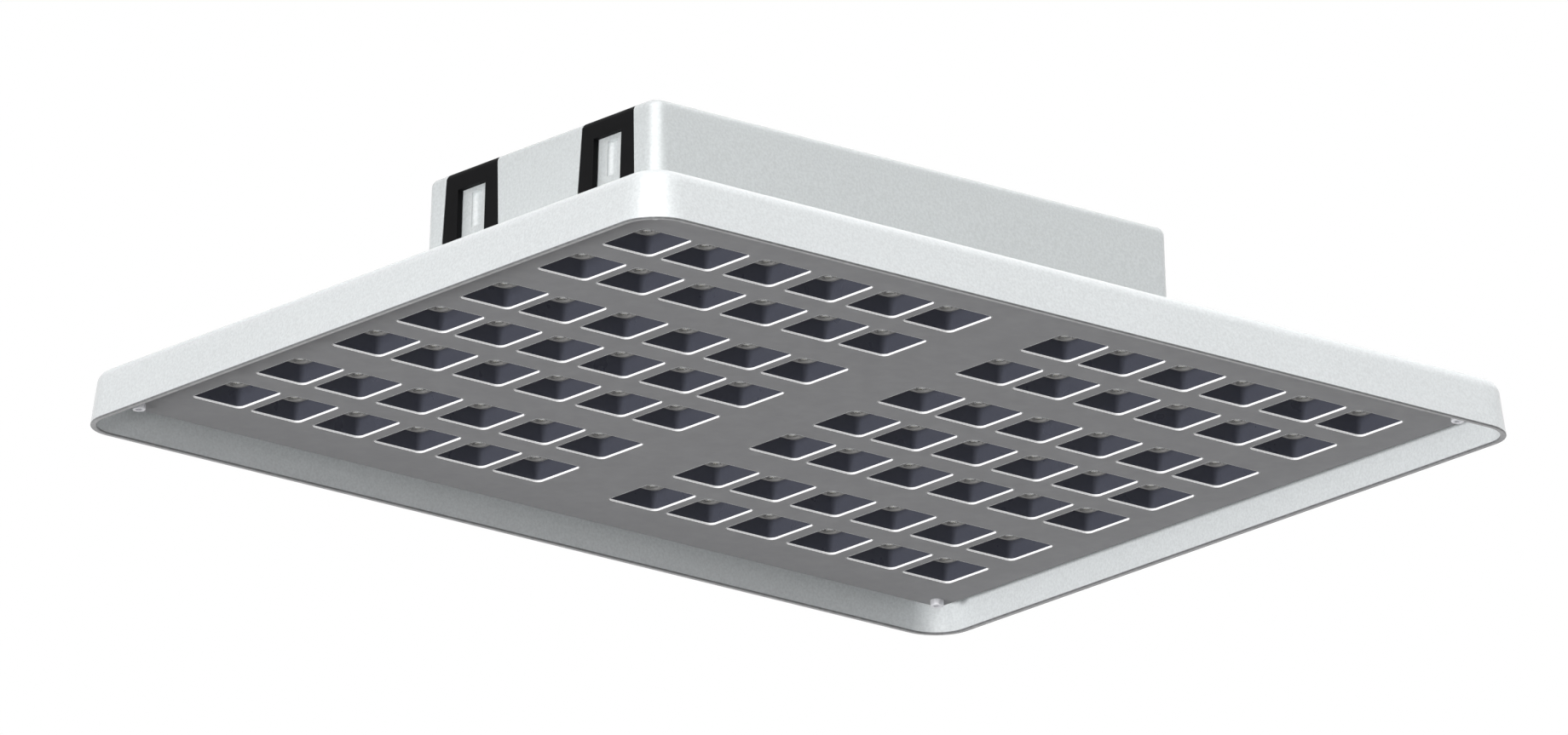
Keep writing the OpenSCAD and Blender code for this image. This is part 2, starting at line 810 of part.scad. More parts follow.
// The space that one latch lies in
module latch_pocket() {
    hook_back = box_face_x(box_top) - latch_reach - latch_gap;
    across_latch(pocket_low, latch_gap) {
        face_strip(pocket_low, box_top + over, -2 * hinge_eye_radius, pocket_depth);
        translate([hook_back, box_top - pocket_depth])
            square([box_length / 2 - hook_back, pocket_depth + over]);
    }
}

// A pad behind each of the four latches, from its section
module latch_pads() {
    for (which = [1 : 4]) at_latch(which) {
        rotate([90, 0, 0]) linear_extrude(2 * (latch_half(pocket_low) + pad_margin), center = true)
            children();
    }
}

// Walls of the gear box between two heights, with the latch pockets
module box_shell(low, high) {
    difference() {
        union() {
            run_round(box_length, box_width, box_corner_radius) children();
            latch_pads() pad_section(low, high);
        }
        for (which = [1 : 4]) at_latch(which) latch_pocket();
    }
}

// Frame of a fitting on the gland's end wall, its axis square to the wall
module at_gland() {
    translate([box_face_x(gland_z), 0, gland_z]) rotate([0, 90 - box_slope, 0]) children();
}

// The ears on the base that carry one hinge pin
module hinge_ears() {
    root_x = box_face_x(hinge_z) - pocket_depth - pad_wall / 2;
    for (side = [-1, 1]) {
        translate([0, side * (latch_slot_width / 2 - latch_gap - knuckle_width / 2), 0])
            rotate([90, 0, 0]) linear_extrude(knuckle_width, center = true) difference() {
                union() {
                    translate([hinge_x, hinge_z]) circle(hinge_eye_radius);
                    translate([root_x, hinge_z - hinge_eye_radius])
                        square([hinge_x - root_x, 2 * hinge_eye_radius]);
                }
                translate([hinge_x, hinge_z]) circle(hinge_pin_radius + hinge_clearance);
            }
    }
}

// The lower tray of the gear box, screwed to the roof
module gear_box_base() {
    core_x = box_length - 2 * box_corner_radius;
    core_y = box_width - 2 * box_corner_radius;
    floor_top = roof_top + base_floor;
    color("whitesmoke") {
        difference() {
            union() {
                box_shell(roof_top, seam_low) {
                    box_wall_section(roof_top, seam_low);
                    box_outer(roof_top, floor_top);
                }
                translate([-core_x / 2, -core_y / 2, roof_top]) cube([core_x, core_y, base_floor]);
                translate([0, 0, roof_top]) at_four(pillar_x, pillar_y)
                    cylinder(r = pillar_radius, h = base_floor + pillar_height);
                translate([0, 0, roof_top]) at_four(base_screw_x, base_screw_y)
                    cylinder(r = base_boss_radius, h = base_floor + base_boss_height);
            }
            translate([0, 0, floor_top]) at_four(pillar_x, pillar_y)
                cylinder(r = small_tap_radius, h = pillar_height + over);
            translate([0, 0, roof_top - over]) at_four(base_screw_x, base_screw_y)
                cylinder(r = small_tap_radius, h = base_floor + base_boss_height);
            translate([0, 0, roof_top - over]) cylinder(r = lead_pass_radius, h = base_floor + 2 * over);
            at_gland() translate([0, 0, -2 * box_wall]) cylinder(r = gland_thread_radius, h = 3 * box_wall);
            mirror([1, 0, 0]) at_gland() translate([0, 0, -2 * box_wall])
                cylinder(r = vent_thread_radius, h = 3 * box_wall);
        }
        for (which = [1 : 4]) at_latch(which) hinge_ears();
    }
}

module seam_gasket_ring() {
    color("black") box_shell(seam_low, seam_high) box_wall_section(seam_low, seam_high);
}

// The deep cover, with a finger groove behind each latch
module gear_box_cover() {
    core_x = box_length - 2 * box_corner_radius;
    core_y = box_width - 2 * box_corner_radius;
    groove_top = latch_bar_low - groove_drop;
    color("whitesmoke") difference() {
        union() {
            box_shell(seam_high, box_top) box_wall_section(seam_high, box_top);
            difference() {
                union() {
                    translate([-core_x / 2, -core_y / 2, box_top - box_wall])
                        cube([core_x, core_y, box_wall]);
                    latch_pads() hook_pad_section();
                }
                for (which = [1 : 4]) at_latch(which) latch_pocket();
            }
        }
        for (which = [1 : 4]) at_latch(which)
            translate([
                box_face_x(groove_top) - pocket_depth + groove_radius - groove_depth, 0, groove_top
            ]) rotate([0, 180 - box_slope, 0]) cylinder(r = groove_radius, h = groove_length);
    }
}

// One black latch: two legs with eyes, a crossbar and a hook over the cover
module latch(which) {
    hook_x = box_face_x(box_top) - latch_reach;
    color("#1c1c1d") at_latch(which) difference() {
        across_latch(hinge_z - hinge_eye_radius, 0) difference() {
            union() {
                intersection() {
                    end_outline(roof_top, box_top);
                    union() {
                        face_strip(hinge_z, box_top, 0, latch_thickness);
                        translate([hook_x, box_top - latch_thickness])
                            square([latch_reach, latch_thickness]);
                    }
                }
                translate([hinge_x, hinge_z]) circle(hinge_eye_radius);
            }
            translate([hinge_x, hinge_z]) circle(hinge_pin_radius + hinge_clearance);
        }
        translate([0, -latch_slot_width / 2, 0]) cube([box_length, latch_slot_width, latch_bar_low]);
    }
}

module hinge_pins() {
    pin_half = latch_half(hinge_z) - eye_ring_clearance;
    color("silver") for (which = [1 : 4]) at_latch(which)
        translate([hinge_x, 0, hinge_z]) rotate([90, 0, 0])
            cylinder(r = hinge_pin_radius, h = 2 * pin_half, center = true);
}

// Gland body: thread in the wall, hexagon and the tube for seal and nut
module cable_gland_body() {
    color("dimgray") at_gland() difference() {
        union() {
            translate([0, 0, -box_wall - gland_inside_length])
                cylinder(r = gland_thread_radius - fit_gap, h = box_wall + gland_inside_length);
            cylinder(r = gland_flats / 2 / cos(180 / hex_sides), h = gland_body_length, $fn = hex_sides);
            translate([0, 0, gland_body_length])
                cylinder(r = gland_seal_radius + gland_tube_wall, h = gland_tube_length);
        }
        translate([0, 0, -box_wall - gland_inside_length - over])
            cylinder(r = gland_bore_radius, h = gland_bore_length + over);
        translate([0, 0, gland_seal_low])
            cylinder(r = gland_seal_radius + fit_gap, h = gland_seal_length + over);
    }
}
module cable_gland_seal() {
    color("black") at_gland() translate([0, 0, gland_seal_low]) difference() {
        cylinder(r = gland_seal_radius, h = gland_seal_length);
        translate([0, 0, -over]) cylinder(r = gland_bore_radius + fit_gap, h = gland_seal_length + 2 * over);
    }
}

// Dome nut of the gland
module cable_gland_nut() {
    tube_radius = gland_seal_radius + gland_tube_wall;
    hex_length = gland_tube_length;
    color("dimgray") at_gland() translate([0, 0, gland_body_length + fit_gap]) difference() {
        union() {
            cylinder(r = gland_flats / 2 / cos(180 / hex_sides), h = hex_length, $fn = hex_sides);
            translate([0, 0, hex_length])
                cylinder(r1 = gland_nut_radius, r2 = gland_tip_radius, h = gland_nut_length - hex_length);
        }
        translate([0, 0, -over]) cylinder(r = tube_radius + fit_gap, h = gland_tube_length + over);
        cylinder(r = gland_bore_radius + 2 * fit_gap, h = gland_nut_length + over);
    }
}

// Breather plug on the other end wall
module vent_plug() {
    color("dimgray") mirror([1, 0, 0]) at_gland() difference() {
        union() {
            translate([0, 0, -box_wall - vent_inside_length])
                cylinder(r = vent_thread_radius - fit_gap, h = box_wall + vent_inside_length);
            cylinder(r = vent_cap_radius, h = vent_cap_height);
        }
        translate([0, 0, -box_wall - vent_inside_length - over])
            cylinder(r = vent_bore_radius, h = box_wall + vent_inside_length + vent_cap_height / 2);
        for (i = [0 : vent_slot_count - 1]) {
            rotate([0, 0, 360 * i / vent_slot_count])
                translate([vent_bore_radius, -vent_slot_width / 2, vent_cap_height - vent_slot_depth])
                    cube([vent_cap_radius, vent_slot_width, vent_slot_depth + over]);
        }
    }
}

// Rubber bush where the leads pass the roof
module lead_grommet() {
    floor_top = roof_top + base_floor;
    foot = roof_top - grommet_lip_height;
    color("black") difference() {
        union() {
            translate([0, 0, roof_top]) cylinder(r = lead_pass_radius - fit_gap, h = base_floor);
            for (seat = [foot, floor_top]) {
                translate([0, 0, seat])
                    cylinder(r = lead_pass_radius + grommet_lip, h = grommet_lip_height);
            }
        }
        through = base_floor + 2 * grommet_lip_height + 2 * over;
        for (side = [-1, 1]) {
            translate([0, side * lead_place, foot - over])
                cylinder(r = lead_radius + fit_gap, h = through);
        }
    }
}

// Feet holes of everything that stands on the gear tray
gear_screw_places = [
    for (side = [-1, 1], y = [-1, 1], end = [-1, 1])
        [
            driver_x + end * (driver_length + driver_foot_length) / 2,
            side * driver_y + y * driver_screw_y
        ],
    for (end = [-1, 1]) [surge_x + end * (surge_length + surge_foot) / 2, surge_y],
    for (end = [-1, 1]) [terminal_x, terminal_y + end * (pole_length * pole_count + pole_step) / 2]
];

module gear_tray() {
    color("silver") difference() {
        translate([-gear_tray_length / 2, -gear_tray_width / 2, tray_under])
            cube([gear_tray_length, gear_tray_width, gear_tray_thickness]);
        translate([0, 0, tray_under - over]) cylinder(r = tray_lead_hole, h = gear_tray_thickness + 2 * over);
        translate([0, 0, tray_under - over]) at_four(pillar_x, pillar_y)
            cylinder(r = small_hole_radius, h = gear_tray_thickness + 2 * over);
        for (place = gear_screw_places) {
            translate([place[0], place[1], tray_under - over])
                cylinder(r = small_tap_radius, h = gear_tray_thickness + 2 * over);
        }
    }
}

// One driver, standing on two feet
module driver(side) {
    groove = driver_rib_pitch - driver_rib_width;
    count = floor((driver_width - 2 * driver_edge_radius) / driver_rib_pitch);
    color("dimgray") translate([driver_x, side * driver_y, tray_top]) difference() {
        union() {
            linear_extrude(driver_height) rounded_rect(driver_length, driver_width, driver_edge_radius);
            translate([-driver_length / 2 - driver_foot_length, driver_edge_radius - driver_width / 2, 0])
                cube([
                    driver_length + 2 * driver_foot_length, driver_width - 2 * driver_edge_radius,
                    driver_foot_thickness
                ]);
        }
        for (i = [0 : count - 1]) {
            translate([
                -driver_length / 2 - over, (i - (count - 1) / 2) * driver_rib_pitch - groove / 2,
                driver_height - driver_rib_depth
            ]) cube([driver_length + 2 * over, groove, driver_rib_depth + over]);
        }
        for (end = [-1, 1], y = [-1, 1]) {
            translate([end * (driver_length + driver_foot_length) / 2, y * driver_screw_y, -over])
                cylinder(r = small_hole_radius, h = driver_foot_thickness + 2 * over);
        }
    }
}

module surge_protector() {
    color("darkorange") translate([surge_x, surge_y, tray_top]) difference() {
        union() {
            linear_extrude(surge_height) rounded_rect(surge_length, surge_width, driver_edge_radius);
            translate([-surge_length / 2 - surge_foot, -surge_foot, 0])
                cube([surge_length + 2 * surge_foot, 2 * surge_foot, driver_foot_thickness]);
        }
        for (end = [-1, 1]) {
            translate([end * (surge_length + surge_foot) / 2, 0, -over])
                cylinder(r = small_hole_radius, h = driver_foot_thickness + 2 * over);
        }
    }
}

// Row of poles, each with a clamp screw's well
module terminal_block() {
    row = pole_length * pole_count;
    color("ivory") translate([terminal_x, terminal_y, tray_top]) difference() {
        union() {
            translate([-pole_width / 2, -row / 2, 0]) cube([pole_width, row, pole_height]);
            translate([-pole_width / 4, -row / 2 - pole_step, 0])
                cube([pole_width / 2, row + 2 * pole_step, driver_foot_thickness]);
        }
        for (i = [0 : pole_count - 1]) {
            translate([0, (i - (pole_count - 1) / 2) * pole_length, pole_height / 2])
                cylinder(r = pole_hole_radius, h = pole_height);
        }
        for (end = [-1, 1]) {
            translate([0, end * (row + pole_step) / 2, -over])
                cylinder(r = small_hole_radius, h = driver_foot_thickness + 2 * over);
        }
    }
}

// The small screws of the gear box: head up on the gear tray, and four up through the roof into the base
module gear_screws() {
    grip = driver_foot_thickness + gear_tray_thickness;
    color("silver") {
        for (place = gear_screw_places) {
            translate([place[0], place[1], tray_top + driver_foot_thickness]) rotate([180, 0, 0])
                cap_screw(small_tap_radius - fit_gap, grip, small_head_radius, small_head_height,
                    small_socket_radius, small_socket_depth);
        }
        translate([0, 0, tray_top]) at_four(pillar_x, pillar_y) rotate([180, 0, 0])
            cap_screw(small_tap_radius - fit_gap, gear_tray_thickness + small_tap_depth, small_head_radius,
                small_head_height, small_socket_radius, small_socket_depth);
        translate([0, 0, roof_under]) at_four(base_screw_x, base_screw_y)
            cap_screw(small_tap_radius - fit_gap, roof_wall + base_floor + base_boss_height - spare,
                small_head_radius, small_head_height, small_socket_radius, small_socket_depth);
    }
}

// A quarter bend of a lead, from its own +X towards its own +Y
module lead_bend() {
    rotate_extrude(angle = 90) translate([lead_turn, 0]) circle(lead_radius);
}

// The lead from one driver through the roof to the plug
module led_lead() {
    start_x = driver_x + driver_length / 2;
    far_x = start_x + lead_turn + 2 * spare;
    start_y = driver_y - driver_width / 4;
    plug_z = board_under - plug_height / 2;
    translate([start_x, start_y, lead_level]) rotate([0, 90, 0])
        cylinder(r = lead_radius, h = far_x - lead_turn - start_x);
    translate([far_x - lead_turn, start_y - lead_turn, lead_level]) lead_bend();
    translate([far_x, start_y - lead_turn, lead_level]) rotate([90, 0, 0])
        cylinder(r = lead_radius, h = start_y - 2 * lead_turn - lead_place);
    translate([far_x - lead_turn, lead_place + lead_turn, lead_level]) rotate([0, 0, -90]) lead_bend();
    translate([lead_turn, lead_place, lead_level]) rotate([0, 90, 0])
        cylinder(r = lead_radius, h = far_x - 2 * lead_turn);
    translate([lead_turn, lead_place, lead_level - lead_turn])
        rotate([90, 0, 0]) rotate([0, 0, 90]) lead_bend();
    translate([0, lead_place, plug_z]) cylinder(r = lead_radius, h = lead_level - lead_turn - plug_z);
}

// Leads inside the gear box and down to the link board
module wiring_leads() {
    driver_end = driver_x + driver_length / 2;
    outer_y = driver_y + driver_width / 4;
    terminal_face = terminal_x - pole_width / 2;
    surge_face = surge_x - surge_length / 2;
    terminal_level = tray_top + pole_height / 2;
    color("firebrick") {
        led_lead();
        mirror([0, 1, 0]) led_lead();
        translate([driver_end, -outer_y, terminal_level]) rotate([0, 90, 0])
            cylinder(r = lead_radius, h = terminal_face - driver_end);
        translate([driver_end, outer_y, terminal_level]) rotate([0, 90, 0])
            cylinder(r = lead_radius, h = surge_face - driver_end);
        translate([terminal_x, surge_y - surge_width / 2, terminal_level]) rotate([90, 0, 0])
            cylinder(
                r = lead_radius,
                h = surge_y - surge_width / 2 - terminal_y - pole_length * pole_count / 2
            );
    }
}

housing_tray();
face_panel();
panel_gasket();
panel_screws();
reflector_module(0);  // reflector_module_1
reflector_module(1);  // reflector_module_2
reflector_module(2);  // reflector_module_3
reflector_module(3);  // reflector_module_4
reflector_module(4);  // reflector_module_5
reflector_module(5);  // reflector_module_6
cell_trim(0);  // cell_trim_1
cell_trim(1);  // cell_trim_2
cell_trim(2);  // cell_trim_3
cell_trim(3);  // cell_trim_4
cell_trim(4);  // cell_trim_5
cell_trim(5);  // cell_trim_6
optic_plate(0);  // optic_plate_1
optic_plate(1);  // optic_plate_2
optic_plate(2);  // optic_plate_3
optic_plate(3);  // optic_plate_4
optic_plate(4);  // optic_plate_5
optic_plate(5);  // optic_plate_6
lens_set(0);  // lens_set_1
lens_set(1);  // lens_set_2
lens_set(2);  // lens_set_3
lens_set(3);  // lens_set_4
lens_set(4);  // lens_set_5
lens_set(5);  // lens_set_6
led_board(0);  // led_board_1
led_board(1);  // led_board_2
led_board(2);  // led_board_3
led_board(3);  // led_board_4
led_board(4);  // led_board_5
led_board(5);  // led_board_6
led_chips();
link_board();
link_plug();
module_screws();
heat_spreader();
cooling_fins();
gear_box_base();
seam_gasket_ring();
gear_box_cover();
latch(1);  // latch_1
latch(2);  // latch_2
latch(3);  // latch_3
latch(4);  // latch_4
hinge_pins();
cable_gland_body();
cable_gland_nut();
cable_gland_seal();
vent_plug();
lead_grommet();
gear_tray();
driver(-1);  // driver_1
driver(1);  // driver_2
surge_protector();
terminal_block();
gear_screws();
wiring_leads();
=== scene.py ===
# %% [markdown]
# # A sports floodlight, seen from below
# The light is a white shell that flares down to its rim. A grey panel closes it, with 84 deep square cells, and
# a gear box with black latches sits on its roof. The construction model already holds every piece at its real
# size, so it comes in first as a fixed frame, and each step after that gives a piece its finish, or a finer mesh
# that stands for it in the same place.

# %% Bring in the construction model
import json
import math

import bmesh
import bpy
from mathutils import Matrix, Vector


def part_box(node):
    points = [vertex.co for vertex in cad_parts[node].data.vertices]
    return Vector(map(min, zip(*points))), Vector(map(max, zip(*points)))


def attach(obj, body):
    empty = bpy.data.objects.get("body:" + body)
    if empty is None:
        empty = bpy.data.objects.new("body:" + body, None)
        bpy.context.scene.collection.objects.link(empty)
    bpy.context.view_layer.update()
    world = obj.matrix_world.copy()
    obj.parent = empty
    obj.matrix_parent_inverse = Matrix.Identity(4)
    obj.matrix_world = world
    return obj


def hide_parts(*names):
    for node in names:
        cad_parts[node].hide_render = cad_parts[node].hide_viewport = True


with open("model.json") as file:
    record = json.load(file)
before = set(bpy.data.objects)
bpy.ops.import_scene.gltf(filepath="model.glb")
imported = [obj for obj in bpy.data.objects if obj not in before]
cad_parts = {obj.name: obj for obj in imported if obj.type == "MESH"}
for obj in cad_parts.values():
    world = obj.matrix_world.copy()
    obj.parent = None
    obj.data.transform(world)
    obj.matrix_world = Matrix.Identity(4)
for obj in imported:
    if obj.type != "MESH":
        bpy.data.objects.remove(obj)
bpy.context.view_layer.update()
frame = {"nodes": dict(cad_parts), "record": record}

nodes = frame["nodes"]

# %% [markdown]
# ## Where the camera stands
# The photograph is nearly a parallel view from below one corner. An orthographic camera would do that, but a long
# lens from far away gives the same look and still frames the light well when it is turned round, so the lens is
# 740 mm. The direction and the target were fitted to the straight edges and the corners of the photograph.

# %% Camera
camera_towards = Vector((-0.60861, -0.73330, -0.30310)).normalized()
camera_distance = 19.927
camera_target = Vector((-0.0140, -0.0026, 0.0378))
camera_lens = 740
camera_reach = 60

camera_data = bpy.data.cameras.new("long_lens")
camera_data.lens = camera_lens
camera_data.clip_end = camera_reach
camera = bpy.data.objects.new("camera", camera_data)
camera.location = camera_target + camera_towards * camera_distance
camera.rotation_euler = camera_towards.to_track_quat("Z", "Y").to_euler()
bpy.context.scene.collection.objects.link(camera)
bpy.context.scene.camera = camera
print("camera at", tuple(round(v, 3) for v in camera.location))

# %% [markdown]
# ## Writing shader graphs
# The room and every finish are graphs of shader nodes. They could be wired by hand in the shader editor, but a
# written graph can be read, repeated and changed in one place. Five small helpers keep the writing short: they
# set the plain values of a node, add a node, fill a socket, calculate with two values, and mix two shaders.

# %% Nodes and their plain values
def set_plain(node, **values):
    """Sets plain values on a node's own sockets, whose names have underscores for spaces."""
    for key, value in values.items():
        node.inputs[key.replace("_", " ")].default_value = value


def put(tree, kind, settings=None, **values):
    """Adds a node, with its settings and the plain values of its sockets."""
    node = tree.nodes.new(kind)
    for key, value in (settings or {}).items():
        setattr(node, key, value)
    set_plain(node, **values)
    return node


print("node helpers:", set_plain.__name__, put.__name__)

# %% Wires, sums and mixes
def feed(tree, socket, value):
    """Fills a socket with a wire from another socket, with a colour or with a number."""
    if isinstance(value, bpy.types.NodeSocket):
        tree.links.new(value, socket)
    elif isinstance(value, tuple):
        socket.default_value = (*value, 1.0)
    else:
        socket.default_value = value


def calculate(tree, operation, first, second):
    """One step of arithmetic, on two sockets or on a socket and a number."""
    node = put(tree, "ShaderNodeMath", {"operation": operation})
    feed(tree, node.inputs[0], first)
    feed(tree, node.inputs[1], second)
    return node.outputs[0]


def mix_shaders(tree, amount, first, second):
    """The first shader where the amount is 0, and the second where it is 1."""
    node = put(tree, "ShaderNodeMixShader")
    for socket, value in zip(node.inputs, (amount, first, second)):
        feed(tree, socket, value)
    return node.outputs[0]


print("wiring helpers:", feed.__name__, calculate.__name__, mix_shaders.__name__)

# %% [markdown]
# ## The white room
# The photograph has a pure white background. A white backdrop would need strong lamps of its own, so the world
# does it instead. It shows strength 1 to the camera and to shiny and clear surfaces, and a lower strength to
# everything else, so the background is white without flooding the light.

# %% World
room_white = 1.0
room_fill = 0.09
white_light = (1, 1, 1, 1)

bpy.context.scene.view_settings.view_transform = "Standard"
world = bpy.data.worlds.new("white_room")
bpy.context.scene.world = world
world.use_nodes = True
room = world.node_tree
room.nodes.clear()
rays = put(room, "ShaderNodeLightPath").outputs
seen = calculate(room, "MAXIMUM", rays["Is Camera Ray"], rays["Is Glossy Ray"])
seen_through = calculate(room, "MAXIMUM", seen, rays["Is Transmission Ray"])
fill = put(room, "ShaderNodeBackground", Color=white_light, Strength=room_fill)
white = put(room, "ShaderNodeBackground", Color=white_light, Strength=room_white)
room_light = mix_shaders(room, seen_through, fill.outputs[0], white.outputs[0])
feed(room, put(room, "ShaderNodeOutputWorld").inputs["Surface"], room_light)
print("world fill", room_fill)

# %% [markdown]
# ## The lamps
# Soft square lamps stand round the light like studio boxes, because small hard ones would draw sharp shadows that
# the photograph doesn't have. Two low ones shine in under the rim from the sides that the camera sees, and the
# high ones light the walls and the roof. A lamp of W watts at distance d brings the level W / (pi * d) ** 2 to a
# matt white surface that faces it, so each lamp is given by its level. The corner glow is a wide box that only
# glossy surfaces see. It draws the bright band down each rounded corner and leaves the walls beside it as they are.

# %% Lamps
def studio_lamp(name, azimuth, elevation, distance, size, level, gloss):
    """A soft square lamp for matt or for glossy surfaces. Azimuth 0 is -Y and 90 is +X, both in degrees."""
    a, e = math.radians(azimuth), math.radians(elevation)
    towards = Vector((math.sin(a) * math.cos(e), -math.cos(a) * math.cos(e), math.sin(e)))
    data = bpy.data.lights.new(name, "AREA")
    data.size = size
    data.energy = (math.pi * distance) ** 2 * level
    lamp = bpy.data.objects.new(name, data)
    lamp.location = towards * distance
    lamp.rotation_euler = towards.to_track_quat("Z", "Y").to_euler()
    lamp.visible_camera = False
    lamp.visible_glossy = gloss
    lamp.visible_diffuse = not gloss
    bpy.context.scene.collection.objects.link(lamp)


# azimuth, elevation, distance and size in metres, level, and whether it is for glossy surfaces
lamps = {
    "low_side": (-90, -20, 18.0, 3.4, 0.69, False),
    "low_front": (0, -20, 18.0, 3.4, 0.05, False),
    "high_front": (2, 57, 3.8, 1.6, 0.85, False),
    "high_top": (-30, 80, 3.0, 2.0, 0.05, False),
    "high_back": (150, 30, 3.6, 1.6, 0.25, False),
    "corner_fill": (-36, 27, 4.0, 1.4, 0.18, False),
    "corner_glow": (-50, 20, 4.0, 5.0, 1.8, True),
}
for name, values in lamps.items():
    studio_lamp(name, *values)
print("lamps:", len(lamps))

# %% [markdown]
# ## Tools for finishes
# Every finish is a Principled surface whose colour, roughness and bump vary a little, as real coatings do. An
# image could carry that variation, but noise needs no file and has no seams. It is laid out in object coordinates,
# which are metres here, so a scale of 900 means grains of about a millimetre, and the grain stays on the piece
# when a latch turns. Depths and widths are written in millimetres.

# %% Start of a finish
mm = 0.001


def start_finish(name):
    """A new material with its tree, its Principled shader and its metre coordinates."""
    material = bpy.data.materials.new(name)
    material.use_nodes = True
    tree = material.node_tree
    shader = tree.nodes["Principled BSDF"]
    metres = put(tree, "ShaderNodeTexCoord").outputs["Object"]
    return material, tree, shader, metres


def noise(tree, metres, scale, detail=2.0, stretch=None):
    """Noise of so many grains per metre, stretched where a surface is rolled or brushed."""
    if stretch:
        mapping = put(tree, "ShaderNodeMapping", Scale=stretch)
        tree.links.new(metres, mapping.inputs["Vector"])
        metres = mapping.outputs[0]
    cloud = put(tree, "ShaderNodeTexNoise", Scale=scale, Detail=detail)
    tree.links.new(metres, cloud.inputs["Vector"])
    return cloud.outputs["Fac"]


print("noise of scale 900 has grains of", round(1 / 900 / mm, 1), "mm")

# %% Ranges and colours
def between(tree, value, low, high, from_low=0.3, from_high=0.7):
    """Stretches a value, noise unless told otherwise, to run from low to high."""
    node = put(tree, "ShaderNodeMapRange", From_Min=from_low, From_Max=from_high, To_Min=low, To_Max=high)
    tree.links.new(value, node.inputs["Value"])
    return node.outputs[0]


def blend_colour(tree, amount, first, second):
    """Mixes two colours, each a plain colour or a socket."""
    node = put(tree, "ShaderNodeMix", {"data_type": "RGBA"})
    feed(tree, node.inputs[0], amount)
    feed(tree, node.inputs[6], first)
    feed(tree, node.inputs[7], second)
    return node.outputs[2]


def shade(colour, amount):
    """The same colour, lighter or darker."""
    return tuple(min(1.0, c * amount) for c in colour)


print("half of white is", shade((1.0, 1.0, 1.0), 0.5))

# %% [markdown]
# ## Colour, roughness and grain
# Paint and plastic are never one flat colour: up close there are fine specks, and from afar broad, faint clouds.
# Both are noise, at a small and at a large scale, and each is mixed in by half. Grain is cut as a bump and not as
# real geometry, because it is far finer than any mesh could carry.

# %% Surface helpers
cloud_scale = 7.0
wander_share = 0.09


def tone(tree, metres, colour, grain, speck, cloud=0.02):
    """A colour with fine specks and broad, faint clouds."""
    specks = between(tree, noise(tree, metres, grain, 2.0), 0.0, 1.0)
    fine = blend_colour(tree, specks, shade(colour, 1 - speck), shade(colour, 1 + speck))
    clouds = between(tree, noise(tree, metres, cloud_scale, 4.0), 0.0, 1.0)
    coarse = blend_colour(tree, clouds, shade(colour, 1 - cloud), shade(colour, 1 + cloud))
    return blend_colour(tree, 0.5, fine, coarse)


def bumpy(tree, shader, pattern, depth):
    """Lets the surface rise and fall with a pattern, by a depth in metres."""
    bump = put(tree, "ShaderNodeBump", Strength=1.0, Distance=depth)
    tree.links.new(pattern, bump.inputs["Height"])
    tree.links.new(bump.outputs[0], shader.inputs["Normal"])


def rough_and_bumpy(tree, shader, metres, rough, grain, depth, spread=0.07):
    """Lets the roughness wander and gives the surface its grain."""
    wander = noise(tree, metres, grain * wander_share, 3.0)
    tree.links.new(between(tree, wander, rough - spread, rough + spread), shader.inputs["Roughness"])
    bumpy(tree, shader, noise(tree, metres, grain, 3.0), depth)


print("broad clouds are about", round(1 / cloud_scale / mm), "mm wide")

# %% [markdown]
# ## The floor
# A pale plaster floor lies well below the light. The camera of the photograph looks up past its edge and sees only
# the white room, while a view from above sees the soft shadow. A square floor would show its corners, so it is a
# round sheet that fades into the white of the room before its edge. A floodlight is looked at from below as well,
# so the underside of the sheet is clear to the camera.

# %% Floor sheet
floor_drop = 2.2
floor_radius = 4.4
floor_sides = 96

floor_shape = bmesh.new()
bmesh.ops.create_circle(floor_shape, cap_ends=True, radius=floor_radius, segments=floor_sides)
floor_mesh = bpy.data.meshes.new("studio_floor")
floor_shape.to_mesh(floor_mesh)
floor_shape.free()
floor = bpy.data.objects.new("studio_floor", floor_mesh)
floor.location.z = -floor_drop
bpy.context.scene.collection.objects.link(floor)
print("floor radius", floor_radius, "and", floor_drop, "below the rim")

# %% Floor plaster
fade_start, fade_end = floor_radius * 0.35, floor_radius * 0.80
least_fade = 0.35


def floor_plaster(name):
    """Pale mottled plaster that fades to the white of the room at its edge and is clear from below."""
    material, tree, shader, metres = start_finish(name)
    feed(tree, shader.inputs["Base Color"], tone(tree, metres, (0.82, 0.82, 0.82), 60, 0.02))
    rough_and_bumpy(tree, shader, metres, 0.85, 60, 0.4 * mm)
    set_plain(shader, Specular_IOR_Level=0.1)
    middle = put(tree, "ShaderNodeVectorMath", {"operation": "LENGTH"})
    tree.links.new(metres, middle.inputs[0])
    edge = between(tree, middle.outputs["Value"], least_fade, 1.0, fade_start, fade_end)
    rays = put(tree, "ShaderNodeLightPath").outputs
    seen = calculate(tree, "MAXIMUM", rays["Is Camera Ray"], rays["Is Glossy Ray"])
    white = put(tree, "ShaderNodeEmission", Strength=room_white)
    faded = mix_shaders(tree, calculate(tree, "MULTIPLY", edge, seen), shader.outputs[0], white.outputs[0])
    underside = put(tree, "ShaderNodeNewGeometry").outputs["Backfacing"]
    from_below = calculate(tree, "MULTIPLY", underside, rays["Is Camera Ray"])
    clear = put(tree, "ShaderNodeBsdfTransparent").outputs[0]
    surface = mix_shaders(tree, from_below, faded, clear)
    feed(tree, tree.nodes["Material Output"].inputs["Surface"], surface)
    return material


floor.data.materials.append(floor_plaster("floor_plaster"))
print("floor fades from", round(fade_start, 2), "to", round(fade_end, 2))

